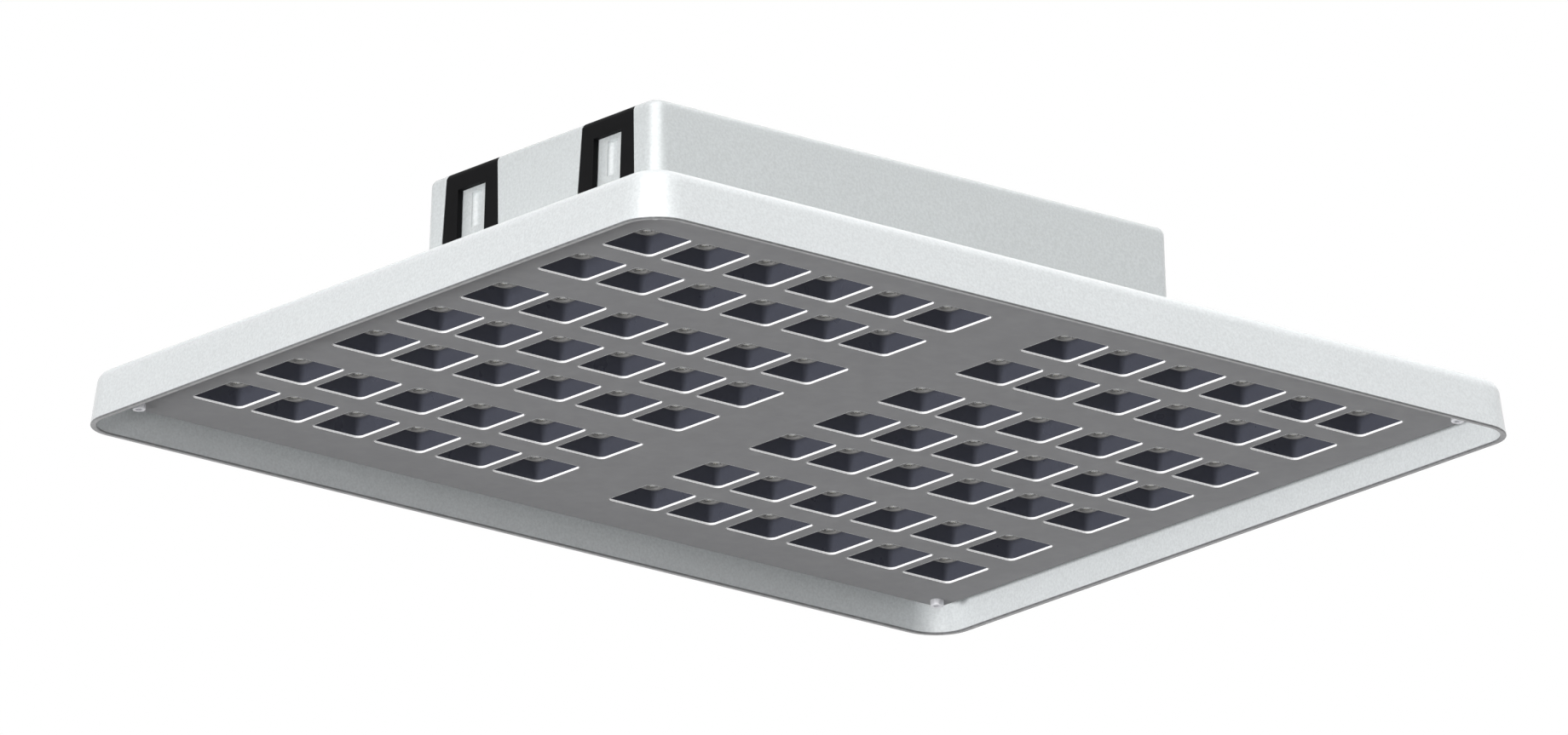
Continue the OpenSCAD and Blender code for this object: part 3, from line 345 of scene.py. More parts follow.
# %% [markdown]
# ## Wear along the edges
# Coatings pull thin over sharp edges, and handling polishes them. Wear could be painted by hand, but a rule finds
# every edge by itself: the Bevel node gives the direction that a rounded edge would have. Where it differs from
# the true direction there is an edge, and the difference drives how much of the worn colour shows through, broken
# up by noise so that it is never an even line.

# %% Edge wear
patch_scale = 160
least_patch = 0.25
alike_at_tips, alike_on_faces = 0.75, 0.995


def worn_edges(tree, metres, width, strength):
    """How worn each spot is, from 0 on open faces to about 1 on the tips of edges."""
    rounded = put(tree, "ShaderNodeBevel", {"samples": 4}, Radius=width)
    true = put(tree, "ShaderNodeNewGeometry")
    alike = put(tree, "ShaderNodeVectorMath", {"operation": "DOT_PRODUCT"})
    tree.links.new(rounded.outputs[0], alike.inputs[0])
    tree.links.new(true.outputs["Normal"], alike.inputs[1])
    edge = between(tree, alike.outputs["Value"], 1.0, 0.0, alike_at_tips, alike_on_faces)
    patchy = between(tree, noise(tree, metres, patch_scale, 3.0), least_patch, 1.0, 0.35, 0.65)
    return calculate(tree, "MULTIPLY", calculate(tree, "MULTIPLY", edge, patchy), strength)


print("wear comes in patches of about", round(1 / patch_scale / mm), "mm")

# %% [markdown]
# ## Powder coat
# The shell, the gear box and the panel are baked powder coat: an even colour, a fine grain like orange peel,
# and slightly greyer edges. One function makes every powder coat, and the colour and the gloss tell them apart.
# The two whites also have a thin clear layer, which draws the bright band down the rounded corners. The gear box's
# white is darker than the shell's: painted shade on the walls of the box. The model's record names a material slot
# for every piece, so each finish is kept under the name of its slot.

# %% Powder coat
coat_edge = 1.2 * mm
clear_layer_rough = 0.17


def powder_coat(
    name, colour, worn, rough, grain=620, depth=0.05 * mm, wear=0.35, specular=0.4, speck=0.14, clear_layer=0.0
):
    """A baked coating with orange peel, faint clouds and rubbed edges."""
    material, tree, shader, metres = start_finish(name)
    surface = tone(tree, metres, colour, grain, speck)
    rubbed = blend_colour(tree, worn_edges(tree, metres, coat_edge, wear), surface, worn)
    feed(tree, shader.inputs["Base Color"], rubbed)
    rough_and_bumpy(tree, shader, metres, rough, grain, depth)
    set_plain(shader, Specular_IOR_Level=specular, Coat_Weight=clear_layer, Coat_Roughness=clear_layer_rough)
    return material


print("a powder coat is rubbed over", round(coat_edge / mm, 2), "mm at its edges")

# %% The three powder coats
finish_of = {
    # the gear box's white is darker than the shell's white: painted shade on the walls of the box
    "white_paint": powder_coat(
        "gear_box_white_coat_painted_shade", (0.628, 0.655, 0.660), (0.57, 0.58, 0.59), 0.40, clear_layer=0.8),
    "panel_grey": powder_coat(
        "panel_grey_coat", (0.262, 0.262, 0.27), (0.36, 0.36, 0.37), 0.62,
        grain=1100, depth=0.03 * mm, wear=0.3, specular=0.25, speck=0.02),
    "driver_case": powder_coat(
        "driver_dark_coat", (0.16, 0.16, 0.17), (0.34, 0.34, 0.35), 0.45, grain=700, depth=0.06 * mm, wear=0.6),
}
print("coats:", [finish.name for finish in finish_of.values()])

# %% [markdown]
# ## The rim of the shell
# The shell is the same white coat, but its lowest edge, the cut rim, faces down into shade and reads as a dark
# line. A thin dark ring could be laid on it, but the shade is painted as a mask in the coat instead: over the
# lowest millimetre of the shell the colour turns to a dark grey, broken up by faint blotches.

# %% Shell coat with painted shade on its rim
rim_shade_low, rim_shade_high = 0.8 * mm, 1.2 * mm
rim_shade_blotch_scale = 260
least_rim_shade_blotch = 0.86


def shell_coat_with_painted_rim_shade(name, colour, rim_shade_colour):
    """The white powder coat of the shell, with painted shade in dark grey on its cut rim."""
    material = powder_coat(name, colour, (0.62, 0.63, 0.64), 0.40, clear_layer=0.7)
    tree = material.node_tree
    base_colour = tree.nodes["Principled BSDF"].inputs["Base Color"]
    painted = base_colour.links[0].from_socket
    metres = put(tree, "ShaderNodeTexCoord").outputs["Object"]
    height = put(tree, "ShaderNodeSeparateXYZ")
    tree.links.new(metres, height.inputs[0])
    # painted shade: 1 over the lowest millimetre of the shell, where the rim faces down, and 0 above it
    low = between(tree, height.outputs["Z"], 1.0, 0.0, rim_shade_low, rim_shade_high)
    rim_shade_blotches = between(tree, noise(tree, metres, rim_shade_blotch_scale, 3.0), least_rim_shade_blotch, 1.0)
    feed(tree, base_colour, blend_colour(tree, calculate(tree, "MULTIPLY", low, rim_shade_blotches), painted, rim_shade_colour))
    return material


# the dark grey on the rim is painted shade
shell_white = shell_coat_with_painted_rim_shade("shell_white_coat", (0.80, 0.83, 0.84), (0.11, 0.11, 0.115))
print("shell coat:", shell_white.name, "with its dull rim up to", rim_shade_high)

# %% [markdown]
# ## Moulded plastics and rubber
# Moulded pieces have softer variation than paint: a faint grain from the mould, a little gloss that wanders,
# and edges that turn paler where they are handled. Rubber is the same idea with more roughness and a little
# sheen. They differ only in numbers, so one function makes them all from a table.

# %% Moulded finish
handled_edge = 0.6 * mm
handled_gain, handled_lift = 1.25, 0.012


def moulded(name, colour, rough, grain, depth_in_mm, wear=0.25, specular=0.4, sheen=0.0):
    """A moulded plastic or rubber with mould grain and handled edges."""
    material, tree, shader, metres = start_finish(name)
    surface = tone(tree, metres, colour, grain, 0.05, 0.04)
    paler = tuple(min(1.0, c * handled_gain + handled_lift) for c in colour)
    handled = blend_colour(tree, worn_edges(tree, metres, handled_edge, wear), surface, paler)
    feed(tree, shader.inputs["Base Color"], handled)
    rough_and_bumpy(tree, shader, metres, rough, grain, depth_in_mm * mm)
    set_plain(shader, Specular_IOR_Level=specular, Sheen_Weight=sheen)
    return material


print("a moulding is paler over", round(handled_edge / mm, 2), "mm at its edges")

# %% The moulded finishes
# name, colour, roughness, grains per metre, grain depth in millimetres, wear, specular level and sheen
mouldings = {
    "reflector_dark": ("cell_wall_dark_moulding", (0.092, 0.097, 0.124), 0.32, 500, 0.02, 0.2, 0.45),
    "optic_grey": ("boss_warm_grey_moulding", (0.27, 0.267, 0.262), 0.45, 700, 0.03, 0.3, 0.3),
    "trim_white": ("trim_white_gloss", (0.95, 0.95, 0.95), 0.30, 500, 0.01, 0.1, 0.5),
    "latch_black": ("latch_black_moulding", (0.0075, 0.0075, 0.0080), 0.50, 800, 0.04, 0.4, 0.03),
    "gland_plastic": ("gland_black_nylon", (0.022, 0.022, 0.024), 0.50, 700, 0.05, 0.5),
    "seal_rubber": ("seal_black_rubber", (0.030, 0.030, 0.030), 0.82, 900, 0.05, 0.3, 0.25, 0.15),
    "board_white": ("board_white_mask", (0.85, 0.86, 0.84), 0.35, 300, 0.01, 0.1, 0.5),
    "board_green": ("board_green_mask", (0.05, 0.25, 0.12), 0.32, 300, 0.02, 0.2, 0.5),
    "plug_white": ("plug_ivory_nylon", (0.80, 0.79, 0.74), 0.48, 500, 0.03),
    "surge_orange": ("surge_orange_moulding", (0.80, 0.30, 0.05), 0.46, 600, 0.03),
    "terminal_ivory": ("terminal_ivory_nylon", (0.82, 0.78, 0.66), 0.50, 600, 0.03),
    "lead_jacket": ("lead_red_sleeve", (0.35, 0.04, 0.03), 0.60, 700, 0.04),
    "chip_yellow": ("chip_yellow_phosphor", (0.62, 0.50, 0.17), 0.55, 2600, 0.02, 0.2),
}
for slot, values in mouldings.items():
    finish_of[slot] = moulded(*values)
print("moulded finishes:", len(mouldings))

# %% [markdown]
# ## The glow of the trim
# The white linings of the cells are the brightest thing in the shaded recess of the photograph. A lamp that made
# them so bright would also light the dark walls around them, so the lining gets a faint light of its own.

# %% Trim glow
trim_glow = 0.35
trim_shader = finish_of["trim_white"].node_tree.nodes["Principled BSDF"]
set_plain(trim_shader, Emission_Color=white_light, Emission_Strength=trim_glow)
print("trim glow:", trim_glow)

# %% [markdown]
# ## Metals
# The spreader behind the boards is rolled, the tray is zinc plated, and the screws are turned stainless steel.
# Plain metal shaders look like chrome, so the marks of the making do the work here: rolled and turned metal gets
# its noise stretched along one direction, and plating gets small crystals from a Voronoi pattern, which is how the
# spangle of zinc really looks.

# %% Bare metal
rubbed_edge = 0.4 * mm
mark_depth = 0.01 * mm
rough_swing = 0.08
dark_streak, light_streak, dull_crystal, rubbed_tip = 0.90, 1.06, 0.78, 1.12


def bare_metal(name, colour, rough, grain, stretch, spangle=0, metallic=1.0):
    """Bare metal with its rolling or turning marks, and zinc crystals where it is plated."""
    material, tree, shader, metres = start_finish(name)
    set_plain(shader, Metallic=metallic)
    marks = noise(tree, metres, grain, 4.0, stretch)
    streaks = between(tree, marks, 0.0, 1.0)
    surface = blend_colour(tree, streaks, shade(colour, dark_streak), shade(colour, light_streak))
    if spangle:
        crystals = put(tree, "ShaderNodeTexVoronoi", Scale=spangle)
        tree.links.new(metres, crystals.inputs["Vector"])
        patch = put(tree, "ShaderNodeSeparateColor")
        tree.links.new(crystals.outputs["Color"], patch.inputs[0])
        dulled = between(tree, patch.outputs[0], 0.0, 0.5, 0.0, 1.0)
        surface = blend_colour(tree, dulled, surface, shade(colour, dull_crystal))
    wear = worn_edges(tree, metres, rubbed_edge, 0.5)
    rubbed = blend_colour(tree, wear, surface, shade(colour, rubbed_tip))
    feed(tree, shader.inputs["Base Color"], rubbed)
    feed(tree, shader.inputs["Roughness"], between(tree, marks, rough - rough_swing, rough + rough_swing))
    bumpy(tree, shader, marks, mark_depth)
    return material


print("bare metal is rubbed over", round(rubbed_edge / mm, 2), "mm at its edges")

# %% The rolled, plated and turned metals
finish_of["spreader_aluminium"] = bare_metal(
    "spreader_rolled_aluminium", (0.77, 0.78, 0.79), 0.36, 400, (0.05, 1, 1))
finish_of["sheet_steel"] = bare_metal("tray_zinc_plate", (0.62, 0.63, 0.64), 0.40, 300, (1, 1, 1), spangle=120)
finish_of["screw_steel"] = bare_metal(
    "screw_satin_steel", (0.80, 0.80, 0.83), 0.42, 1600, (1, 1, 0.1), metallic=0.5)
print("metals:", [finish_of[slot].name for slot in ("spreader_aluminium", "sheet_steel", "screw_steel")])

# %% [markdown]
# ## Clear optics
# Each lens is clear moulded plastic with faint flow marks, over a chip whose phosphor is a mottled yellow. A fully
# clear lens would shine like glass, but in the photograph the windows are dark, so the plastic is tinted grey and
# reflects little.

# %% Lens finish
flow_scale = 240
flow_depth = 0.008 * mm


def clear_optic(name):
    """Clear moulded plastic with faint flow marks."""
    material, tree, shader, metres = start_finish(name)
    set_plain(shader, Transmission_Weight=1.0, IOR=1.49, Specular_IOR_Level=0.2)
    flow = noise(tree, metres, flow_scale, 3.0)
    feed(tree, shader.inputs["Roughness"], between(tree, flow, 0.02, 0.08))
    tint = blend_colour(tree, between(tree, flow, 0.0, 1.0), (0.50, 0.52, 0.54), (0.58, 0.60, 0.62))
    feed(tree, shader.inputs["Base Color"], tint)
    bumpy(tree, shader, flow, flow_depth)
    return material


finish_of["lens_clear"] = clear_optic("lens_clear_moulding")
print("lens finish:", finish_of["lens_clear"].name)

# %% [markdown]
# ## Which piece wears which finish
# Each piece could be dressed by hand, but the record already says which slot it belongs to, so the finishes are
# handed out by slot. A piece that is replaced later takes its finish from the same slot. The shell alone has a
# finish of its own, with painted shade on its rim, and its white is paler than the gear box's, whose darker white
# is painted shade.

# %% Hand out the finishes
slot_of = {part["node"]: part["material_slot"] for part in frame["record"]["subparts"]}


def wear_finish(piece, finish):
    """Gives a piece one finish for all its faces."""
    piece.data.materials.clear()
    piece.data.materials.append(finish)


for node_name, piece in nodes.items():
    wear_finish(piece, finish_of[slot_of[node_name]])
wear_finish(nodes["housing_tray"], shell_white)
print("finished pieces:", len(nodes))

# %% [markdown]
# ## Tools for meshes
# Most of the finer pieces are either turned, like the bosses and lenses, or swept round a rounded rectangle, like
# the trim frames. Modifiers such as Screw would do the same, but rings of points joined by quads give clean faces
# with full control over every step. Two helpers make the rings and one joins them.

# %% Rings of points
def circle(radius, z, count, centre=(0.0, 0.0)):
    """A ring of points, in metres."""
    steps = [2 * math.pi * i / count for i in range(count)]
    return [(centre[0] + radius * math.cos(t), centre[1] + radius * math.sin(t), z) for t in steps]


def rounded_rectangle(half_x, half_y, radius, z, corner_steps, centre):
    """A rounded rectangle as a ring of points, corner after corner."""
    points = []
    for quarter, (sx, sy) in enumerate(((1, 1), (-1, 1), (-1, -1), (1, -1))):
        for step in range(corner_steps + 1):
            t = math.pi / 2 * (quarter + step / corner_steps)
            points.append((
                centre[0] + sx * (half_x - radius) + radius * math.cos(t),
                centre[1] + sy * (half_y - radius) + radius * math.sin(t),
                z,
            ))
    return points


print("points in a rounded rectangle:", len(rounded_rectangle(2, 1, 0.2, 0, 5, (0, 0))))

# %% Faces between rings
def join_rings(shape, rings, closed=False, caps=False):
    """Adds quads between rings of the same count, in a bmesh, and closes the loop or caps the ends."""
    made = [[shape.verts.new(point) for point in ring] for ring in rings]
    pairs = list(zip(made, made[1:])) + ([(made[-1], made[0])] if closed else [])
    for near, far in pairs:
        count = len(near)
        for i in range(count):
            j = (i + 1) % count
            shape.faces.new((near[i], near[j], far[j], far[i]))
    if caps:
        shape.faces.new(made[0][::-1])
        shape.faces.new(made[-1])


drum = bmesh.new()
join_rings(drum, [circle(1.0, 0.0, 8), circle(1.0, 1.0, 8)], caps=True)
print("a drum of two rings of eight has", len(drum.faces), "faces")
drum.free()

# %% [markdown]
# ## From a mesh to a piece
# A finished mesh has to move with the right body, stand for the piece of the construction model that it replaces,
# and wear its slot's finish. One function does all that, so no piece can miss a step. Faces are smooth, and only
# edges sharper than an angle stay sharp, as on a real moulding.

# %% Finished pieces
def finished_piece(name, shape, node_name, body="floodlight", smooth_angle=35):
    """Turns a bmesh into a piece that rides on a body and stands for a node of the construction model."""
    slot_name = slot_of[node_name]
    bmesh.ops.recalc_face_normals(shape, faces=shape.faces)
    mesh = bpy.data.meshes.new(name)
    shape.to_mesh(mesh)
    shape.free()
    for face in mesh.polygons:
        face.use_smooth = True
    mesh.set_sharp_from_angle(angle=math.radians(smooth_angle))
    mesh.materials.append(finish_of[slot_name])
    piece = bpy.data.objects.new(name, mesh)
    bpy.context.scene.collection.objects.link(piece)
    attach(piece, body)
    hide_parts(node_name)
    return piece


# %% [markdown]
# ## Where the cells are
# The cells lie in two blocks of six columns and seven rows, in groups of two, three and two rows. The lens rods
# of the construction model stand in the middle of every cell, so their boxes give the columns and rows, and
# nothing has to be measured a second time.

# %% Middles of loose solids
weld_distance = 1e-6


def loose_centres(node_name):
    """The middle of every separate solid of a node, sorted into places."""
    shape = bmesh.new()
    shape.from_mesh(nodes[node_name].data)
    bmesh.ops.remove_doubles(shape, verts=shape.verts, dist=weld_distance)
    seen_verts, centres = set(), []
    for start in shape.verts:
        if start in seen_verts:
            continue
        group, waiting = [], [start]
        seen_verts.add(start)
        while waiting:
            vert = waiting.pop()
            group.append(vert.co.copy())
            for edge in vert.link_edges:
                other = edge.other_vert(vert)
                if other not in seen_verts:
                    seen_verts.add(other)
                    waiting.append(other)
        low = [min(c[i] for c in group) for i in range(3)]
        high = [max(c[i] for c in group) for i in range(3)]
        centres.append(tuple((low[i] + high[i]) / 2 for i in range(3)))
    shape.free()
    return sorted(centres)


print("lenses in the first module:", len(loose_centres("lens_set_1")))

# %% Cell places
module_cells = {}
for module in range(1, 7):
    module_cells[module] = [(x, y) for x, y, z in loose_centres("lens_set_%d" % module)]
print("cells:", {module: len(cells) for module, cells in module_cells.items()})

# %% [markdown]
# ## Trim frames
# Every cell has a thin bright lining at its mouth, which shows as the white line along two sides of each cell. A
# bevel on the model's frame would round all its edges alike, so the frame is made anew, as one rounded section
# swept round a rounded rectangle. The panel's grey coat runs over its small lip, so the lip's faces wear the
# panel's finish and only the upright wall is white.

# %% Section of the trim
trim_low, trim_high = (corner.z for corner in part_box("cell_trim_1"))
cell_half_x, cell_half_y, cell_radius = 19.5 * mm, 21.25 * mm, 4 * mm
trim_wall, lip_radius = 0.6 * mm, 0.12 * mm
lip_steps, cell_corner_steps = 4, 5
lip_share = 0.9


def trim_section():
    """Offset outward and height of each point of the section, starting at the inner top."""
    points = [(0.0, trim_high), (0.0, trim_low + lip_radius)]
    for step in range(1, lip_steps + 1):
        t = math.pi / 2 * step / lip_steps
        points.append((lip_radius * (1 - math.cos(t)), trim_low + lip_radius * (1 - math.sin(t))))
    points += [(trim_wall, trim_low), (trim_wall, trim_high)]
    return points


print("trim section:", len(trim_section()), "points, from", round(trim_low, 5), "to", round(trim_high, 5))

# %% Trim frames
for module, cells in module_cells.items():
    frames = bmesh.new()
    for centre in cells:
        rings = [
            rounded_rectangle(
                cell_half_x + out, cell_half_y + out, cell_radius + out, z, cell_corner_steps, centre)
            for out, z in trim_section()
        ]
        join_rings(frames, rings, closed=True)
    trims = finished_piece("trim_frames_%d" % module, frames, "cell_trim_%d" % module, smooth_angle=50)
    trims.data.materials.append(finish_of["panel_grey"])
    for face in trims.data.polygons:
        if face.center.z < trim_low + lip_radius * lip_share:
            face.material_index = 1
print("trim frames:", sum(len(cells) for cells in module_cells.values()))

# %% [markdown]
# ## Boss plates
# The floor of every cell carries a round boss that holds the lens. On the real plate the boss is moulded in one
# piece with it: a small hollow at its foot, a rounded shoulder, and a thin raised ring round the window. Joining
# turned bosses to a flat plate with booleans would leave untidy faces. So each cell gets one tile of the plate
# that grows out of its turned boss, and the tiles meet on the middle lines of the ribs.

# %% Section of a boss
boss_turns = 48
plate_face, hollow, boss_radius, shoulder, boss_face = 27.3, 1.2, 7.9, 0.9, 21.6
ring_radius, ring_round, ring_foot = 4.6, 0.35, 21.35
window_radius, seat_radius, plate_back = 3.6, 5.3, 28.5
hollow_steps, shoulder_steps, ring_steps = 4, 5, 6


def boss_profile():
    """Radius and height in millimetres, from the foot of the boss to its ring and down its bore."""
    foot_radius = boss_radius + hollow
    profile = [(foot_radius, plate_face)]
    for step in range(1, hollow_steps + 1):
        t = math.pi / 2 * step / hollow_steps
        profile.append((foot_radius - hollow * math.sin(t), plate_face - hollow * (1 - math.cos(t))))
    profile.append((boss_radius, boss_face + shoulder))
    for step in range(1, shoulder_steps + 1):
        t = math.pi / 2 * step / shoulder_steps
        profile.append((boss_radius - shoulder * (1 - math.cos(t)), boss_face + shoulder * (1 - math.sin(t))))
    profile += [(5.35, boss_face), (5.05, boss_face - 0.05), (ring_radius + ring_round, ring_foot)]
    for step in range(ring_steps + 1):
        t = math.pi * step / ring_steps
        profile.append((ring_radius + ring_round * math.cos(t), ring_foot - ring_round * math.sin(t)))
    profile += [(4.0, boss_face + 0.3), (window_radius, 22.4), (window_radius, plate_face - 0.1)]
    profile += [(seat_radius, plate_face - 0.05), (seat_radius, plate_back)]
    return profile


print("boss profile:", len(boss_profile()), "points, from", boss_profile()[0], "to", boss_profile()[-1])

# %% [markdown]
# ## Tiles of the plate
# The flat of the plate round each boss is a tile. Round holes cut into one flat sheet would leave long thin faces,
# so the tile's edge gets as many points as its boss has, and quads join the two. Each point of the edge lies
# straight outward from the boss, and the nearest ones are moved into the four corners.

# %% Edges of a tile
least_slant, far_off = 1e-9, 9.0


def tile_edge(count, low_x, high_x, low_y, high_y, centre, z):
    """The tile's edge as seen from its boss, one point for each turn, with its corners kept."""
    points = []
    for i in range(count):
        t = 2 * math.pi * i / count
        dx, dy = math.cos(t), math.sin(t)
        reach = min(
            ((high_x if dx > 0 else low_x) - centre[0]) / dx if abs(dx) > least_slant else far_off,
            ((high_y if dy > 0 else low_y) - centre[1]) / dy if abs(dy) > least_slant else far_off,
        )
        points.append([centre[0] + dx * reach, centre[1] + dy * reach, z])
    for corner in ((low_x, low_y), (low_x, high_y), (high_x, low_y), (high_x, high_y)):
        nearest = min(points, key=lambda p: (p[0] - corner[0]) ** 2 + (p[1] - corner[1]) ** 2)
        nearest[0], nearest[1] = corner
    return [tuple(p) for p in points]


def middle_lines(values, low, high):
    """The lines halfway between neighbours, from the plate's low edge to its high edge."""
    lines = [low] + [(a + b) / 2 for a, b in zip(values, values[1:])] + [high]
    return {value: (lines[i], lines[i + 1]) for i, value in enumerate(values)}


print("tiles round 1, 2 and 4 on a strip from 0 to 5:", middle_lines([1, 2, 4], 0, 5))

# %% Boss plates
for module, cells in module_cells.items():
    low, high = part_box("optic_plate_%d" % module)
    columns = middle_lines(sorted({round(x, 5) for x, y in cells}), low.x, high.x)
    rows = middle_lines(sorted({round(y, 5) for x, y in cells}), low.y, high.y)
    plate = bmesh.new()
    for x, y in cells:
        spans = (*columns[round(x, 5)], *rows[round(y, 5)])
        turned = [circle(r * mm, z * mm, boss_turns, (x, y)) for r, z in boss_profile()]
        front = tile_edge(boss_turns, *spans, (x, y), plate_face * mm)
        back = tile_edge(boss_turns, *spans, (x, y), high.z)
        join_rings(plate, [front] + turned + [back])
    bmesh.ops.remove_doubles(plate, verts=plate.verts, dist=weld_distance)
    finished_piece("boss_plate_%d" % module, plate, "optic_plate_%d" % module)
print("boss plates:", len(module_cells))

# %% [markdown]
# ## Lenses
# The lens is a clear rod with a low dome in front and a flange that rests in its seat. The dome is what gives the
# dark window its small highlight, and a flat rod would have none. It is turned like the boss, with the dome as an
# arc, so that both share their middle exactly.

# %% Section of a lens
lens_turns = 32
lens_back, lens_seat, flange_radius = 27.7, 27.3, 5.2
rod_radius, dome_foot, dome_rise = 3.5, 22.2, 0.6
tip_radius, dome_steps = 0.02, 8


def lens_profile():
    """Radius and height in millimetres, from the back of the flange to the tip of the dome."""
    profile = [
        (tip_radius, lens_back), (flange_radius, lens_back), (flange_radius, lens_seat), (rod_radius, lens_seat),
        (rod_radius, dome_foot),
    ]
    for step in range(1, dome_steps):
        t = math.pi / 2 * step / dome_steps
        profile.append((rod_radius * math.cos(t), dome_foot - dome_rise * math.sin(t)))
    profile.append((tip_radius, dome_foot - dome_rise))
    return profile


print("lens profile:", len(lens_profile()), "points")

# %% Lenses
for module, cells in module_cells.items():
    lenses = bmesh.new()
    for centre in cells:
        join_rings(lenses, [circle(r * mm, z * mm, lens_turns, centre) for r, z in lens_profile()], caps=True)
    finished_piece("lenses_%d" % module, lenses, "lens_set_%d" % module, smooth_angle=40)
print("lenses:", sum(len(cells) for cells in module_cells.values()))

# %% [markdown]
# ## Chips
# A high-power chip is a small ceramic square with a softly domed patch of phosphor. A cube with a sphere on it
# would need joining, while rounded squares lofted to a low crown give both in one mesh.

# %% Chips
chip_low, chip_high = (corner.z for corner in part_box("led_chips"))
# half width, corner radius and depth below the back, in millimetres
chip_steps = (
    (1.75, 0.1, 0.0), (1.75, 0.1, 0.30), (1.70, 0.1, 0.34),
    (1.45, 0.5, 0.34), (1.25, 0.6, 0.50), (0.7, 0.5, 0.60),
)
chip_corner_steps = 3
chips = bmesh.new()
for cells in module_cells.values():
    for centre in cells:
        rings = [
            rounded_rectangle(
                half * mm, half * mm, radius * mm, chip_high - depth * mm, chip_corner_steps, centre)
            for half, radius, depth in chip_steps
        ]
        join_rings(chips, rings, caps=True)
finished_piece("phosphor_chips", chips, "led_chips")
print("chips from", round(chip_low, 5), "to", round(chip_high, 5))

# %% [markdown]
# ## Corner screws
# The panel is held by four socket cap screws. A real one has a knurled head, a small chamfer and a hexagonal
# socket. A texture of the knurl would look flat from the side, so it is made by moving every second point of the
# rings inward, and the socket by drawing the inner rings onto a hexagon.

# %% Rings of a screw
screw_turns = 72
screw_face, screw_tip = (corner.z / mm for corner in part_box("panel_screws"))
head_back, head_radius, chamfer_radius, shank_radius = 14.0, 4.25, 4.1, 2.0
knurl_depth = 0.07


def knurled(radius, z, centre):
    """A ring whose every other point is pressed inward."""
    ring = circle(radius * mm, z * mm, screw_turns)
    pressed = [1 - knurl_depth / radius if i % 2 else 1.0 for i in range(screw_turns)]
    return [(centre[0] + x * p, centre[1] + y * p, h) for (x, y, h), p in zip(ring, pressed)]


def hexagon(radius, z, centre):
    """A ring drawn onto a hexagon, whose flats lie at cos 30 of the radius."""
    points = []
    for i in range(screw_turns):
        t = 2 * math.pi * i / screw_turns
        off = (t + math.pi / 6) % (math.pi / 3) - math.pi / 6
        r = radius * math.cos(math.pi / 6) / math.cos(off) * mm
        points.append((centre[0] + r * math.cos(t), centre[1] + r * math.sin(t), z * mm))
    return points


def turned_rings(centre, *steps):
    """Round rings from their radii and heights in millimetres."""
    return [circle(radius * mm, z * mm, screw_turns, centre) for radius, z in steps]


print("screw heads from", round(screw_face, 2), "to", head_back, "mm above the rim")

# %% Corner screws
screws = bmesh.new()
screw_centres = [(x, y) for x, y, z in loose_centres("panel_screws")]
for centre in screw_centres:
    shank = turned_rings(
        centre, (shank_radius, screw_tip), (shank_radius, head_back), (chamfer_radius, head_back))
    knurl = [knurled(head_radius, head_back - 0.25, centre), knurled(head_radius, screw_face + 0.75, centre)]
    face = turned_rings(
        centre, (chamfer_radius, screw_face + 0.4), (3.7, screw_face + 0.08), (3.5, screw_face), (2.85, screw_face))
    socket = [hexagon(2.35, screw_face + 0.3, centre), hexagon(2.3, screw_face + 2.2, centre)]
    join_rings(screws, shank + knurl + face + socket + turned_rings(centre, (1.2, screw_face + 2.6)), caps=True)
finished_piece("corner_cap_screws", screws, "panel_screws", smooth_angle=25)
print("corner screws at", [tuple(round(c / mm, 1) for c in centre) for centre in screw_centres])

# %% [markdown]
# ## Easing the edges of small mouldings
# Latches, gland parts, drivers and the like already have the right shape in the construction model, but their
# edges are dead sharp, and a real moulding has a small radius that catches the light. Making them anew would gain
# nothing. So a copy of the mesh is welded, its flat faces are merged, and a narrow bevel is run along the edges
# that are left.

# %% Easing
copy_weld = 2e-6
flat_angle, edge_angle = math.radians(1.0), math.radians(28)


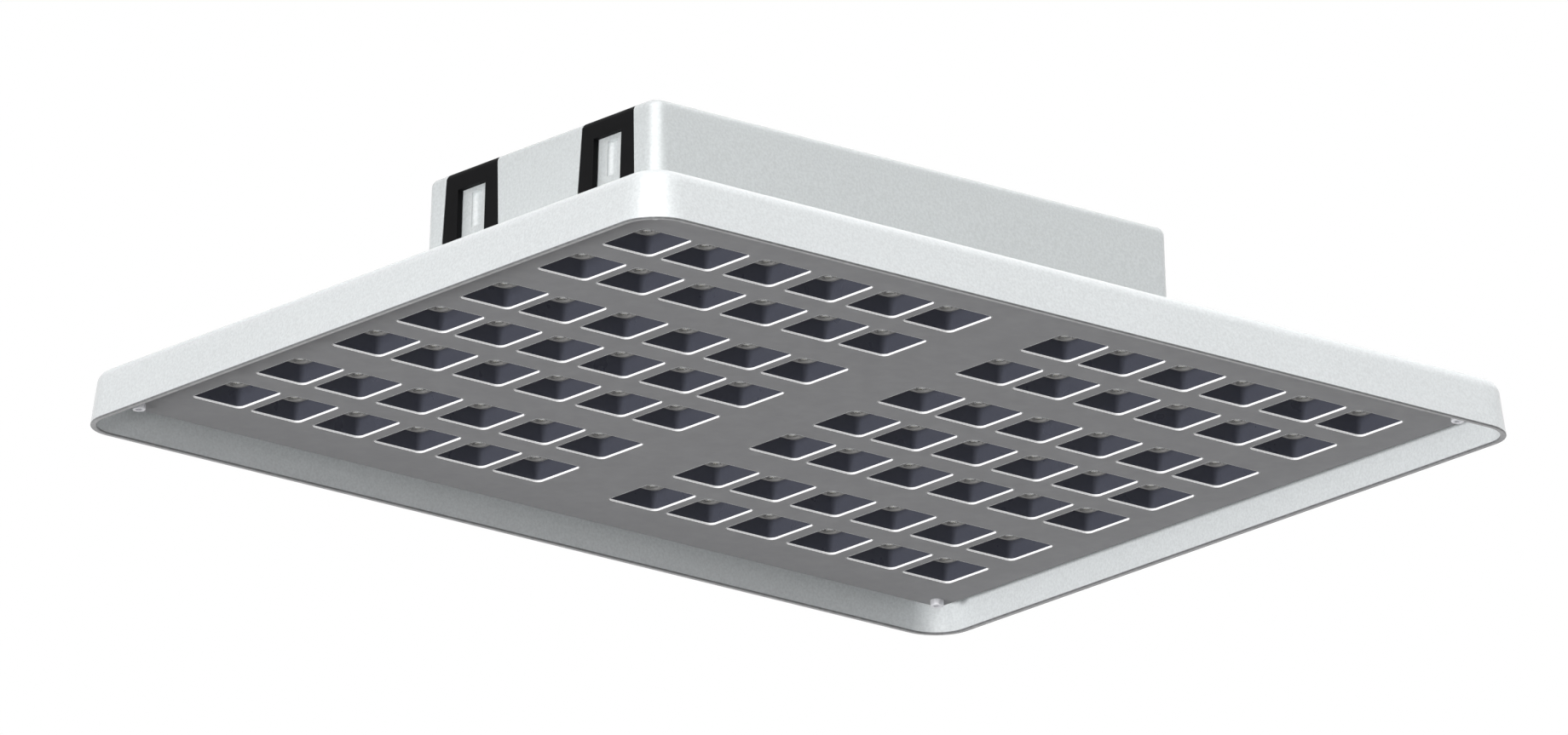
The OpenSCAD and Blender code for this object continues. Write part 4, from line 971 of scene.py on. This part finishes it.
def eased_copy(node_name, name, width, body="floodlight", segments=2):
    """A copy of a node with a small radius along its sharp edges."""
    shape = bmesh.new()
    shape.from_mesh(nodes[node_name].data)
    bmesh.ops.remove_doubles(shape, verts=shape.verts, dist=copy_weld)
    bmesh.ops.dissolve_limit(shape, angle_limit=flat_angle, verts=shape.verts, edges=shape.edges)
    piece = finished_piece(name, shape, node_name, body)
    bevel = piece.modifiers.new("eased_edges", "BEVEL")
    bevel.width = width
    bevel.segments = segments
    bevel.limit_method = "ANGLE"
    bevel.angle_limit = edge_angle
    bevel.harden_normals = True


print("edges sharper than", round(math.degrees(edge_angle)), "degrees are eased")

# %% Eased copies
latch_count = 4
for i in range(1, latch_count + 1):
    eased_copy("latch_%d" % i, "latch_moulding_%d" % i, 0.5 * mm, "latch_%d" % i, segments=3)

edge_widths = {
    "cable_gland_body": 0.4, "cable_gland_nut": 0.35, "vent_plug": 0.3, "driver_1": 0.6, "driver_2": 0.6,
    "surge_protector": 0.6, "terminal_block": 0.4, "link_plug": 0.3, "gear_tray": 0.2,
}
for node_name, width in edge_widths.items():
    eased_copy(node_name, node_name + "_eased", width * mm)
print("eased copies:", latch_count + len(edge_widths))

# %% [markdown]
# ## Fins
# Fourteen thin fins are bonded to the roof to carry off the heat. Extruded fins have rounded tops and softly cut
# ends. A bevel can't make a full round on so thin a wall, so each fin is a rounded section lofted along its
# length, with slightly smaller sections at its two ends.

# %% Section of a fin
fin_half = 1.5 * mm
fin_top_steps = 8
fin_low, fin_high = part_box("cooling_fins")


def fin_outline(x, centre_y, inset):
    """The section of a fin across its length: flat foot, straight sides and a round top."""
    half = fin_half - inset
    points = [(x, centre_y - half, fin_low.z), (x, centre_y + half, fin_low.z)]
    for step in range(fin_top_steps + 1):
        t = math.pi * step / fin_top_steps
        points.append((x, centre_y + half * math.cos(t), fin_high.z - fin_half + half * math.sin(t)))
    return points


print("fins from", round(fin_low.x, 4), "to", round(fin_high.x, 4))

# %% Fins
fins = bmesh.new()
# distance from the nearer end and inset of the section, in millimetres
fin_end = ((0.0, 0.5), (0.15, 0.2), (0.5, 0.0))
fin_centres = loose_centres("cooling_fins")
for x, y, z in fin_centres:
    rings = [fin_outline(fin_low.x + along * mm, y, inset * mm) for along, inset in fin_end]
    rings += [fin_outline(fin_high.x - along * mm, y, inset * mm) for along, inset in reversed(fin_end)]
    join_rings(fins, rings, caps=True)
finished_piece("roof_fins", fins, "cooling_fins", smooth_angle=40)
print("fins:", len(fin_centres))
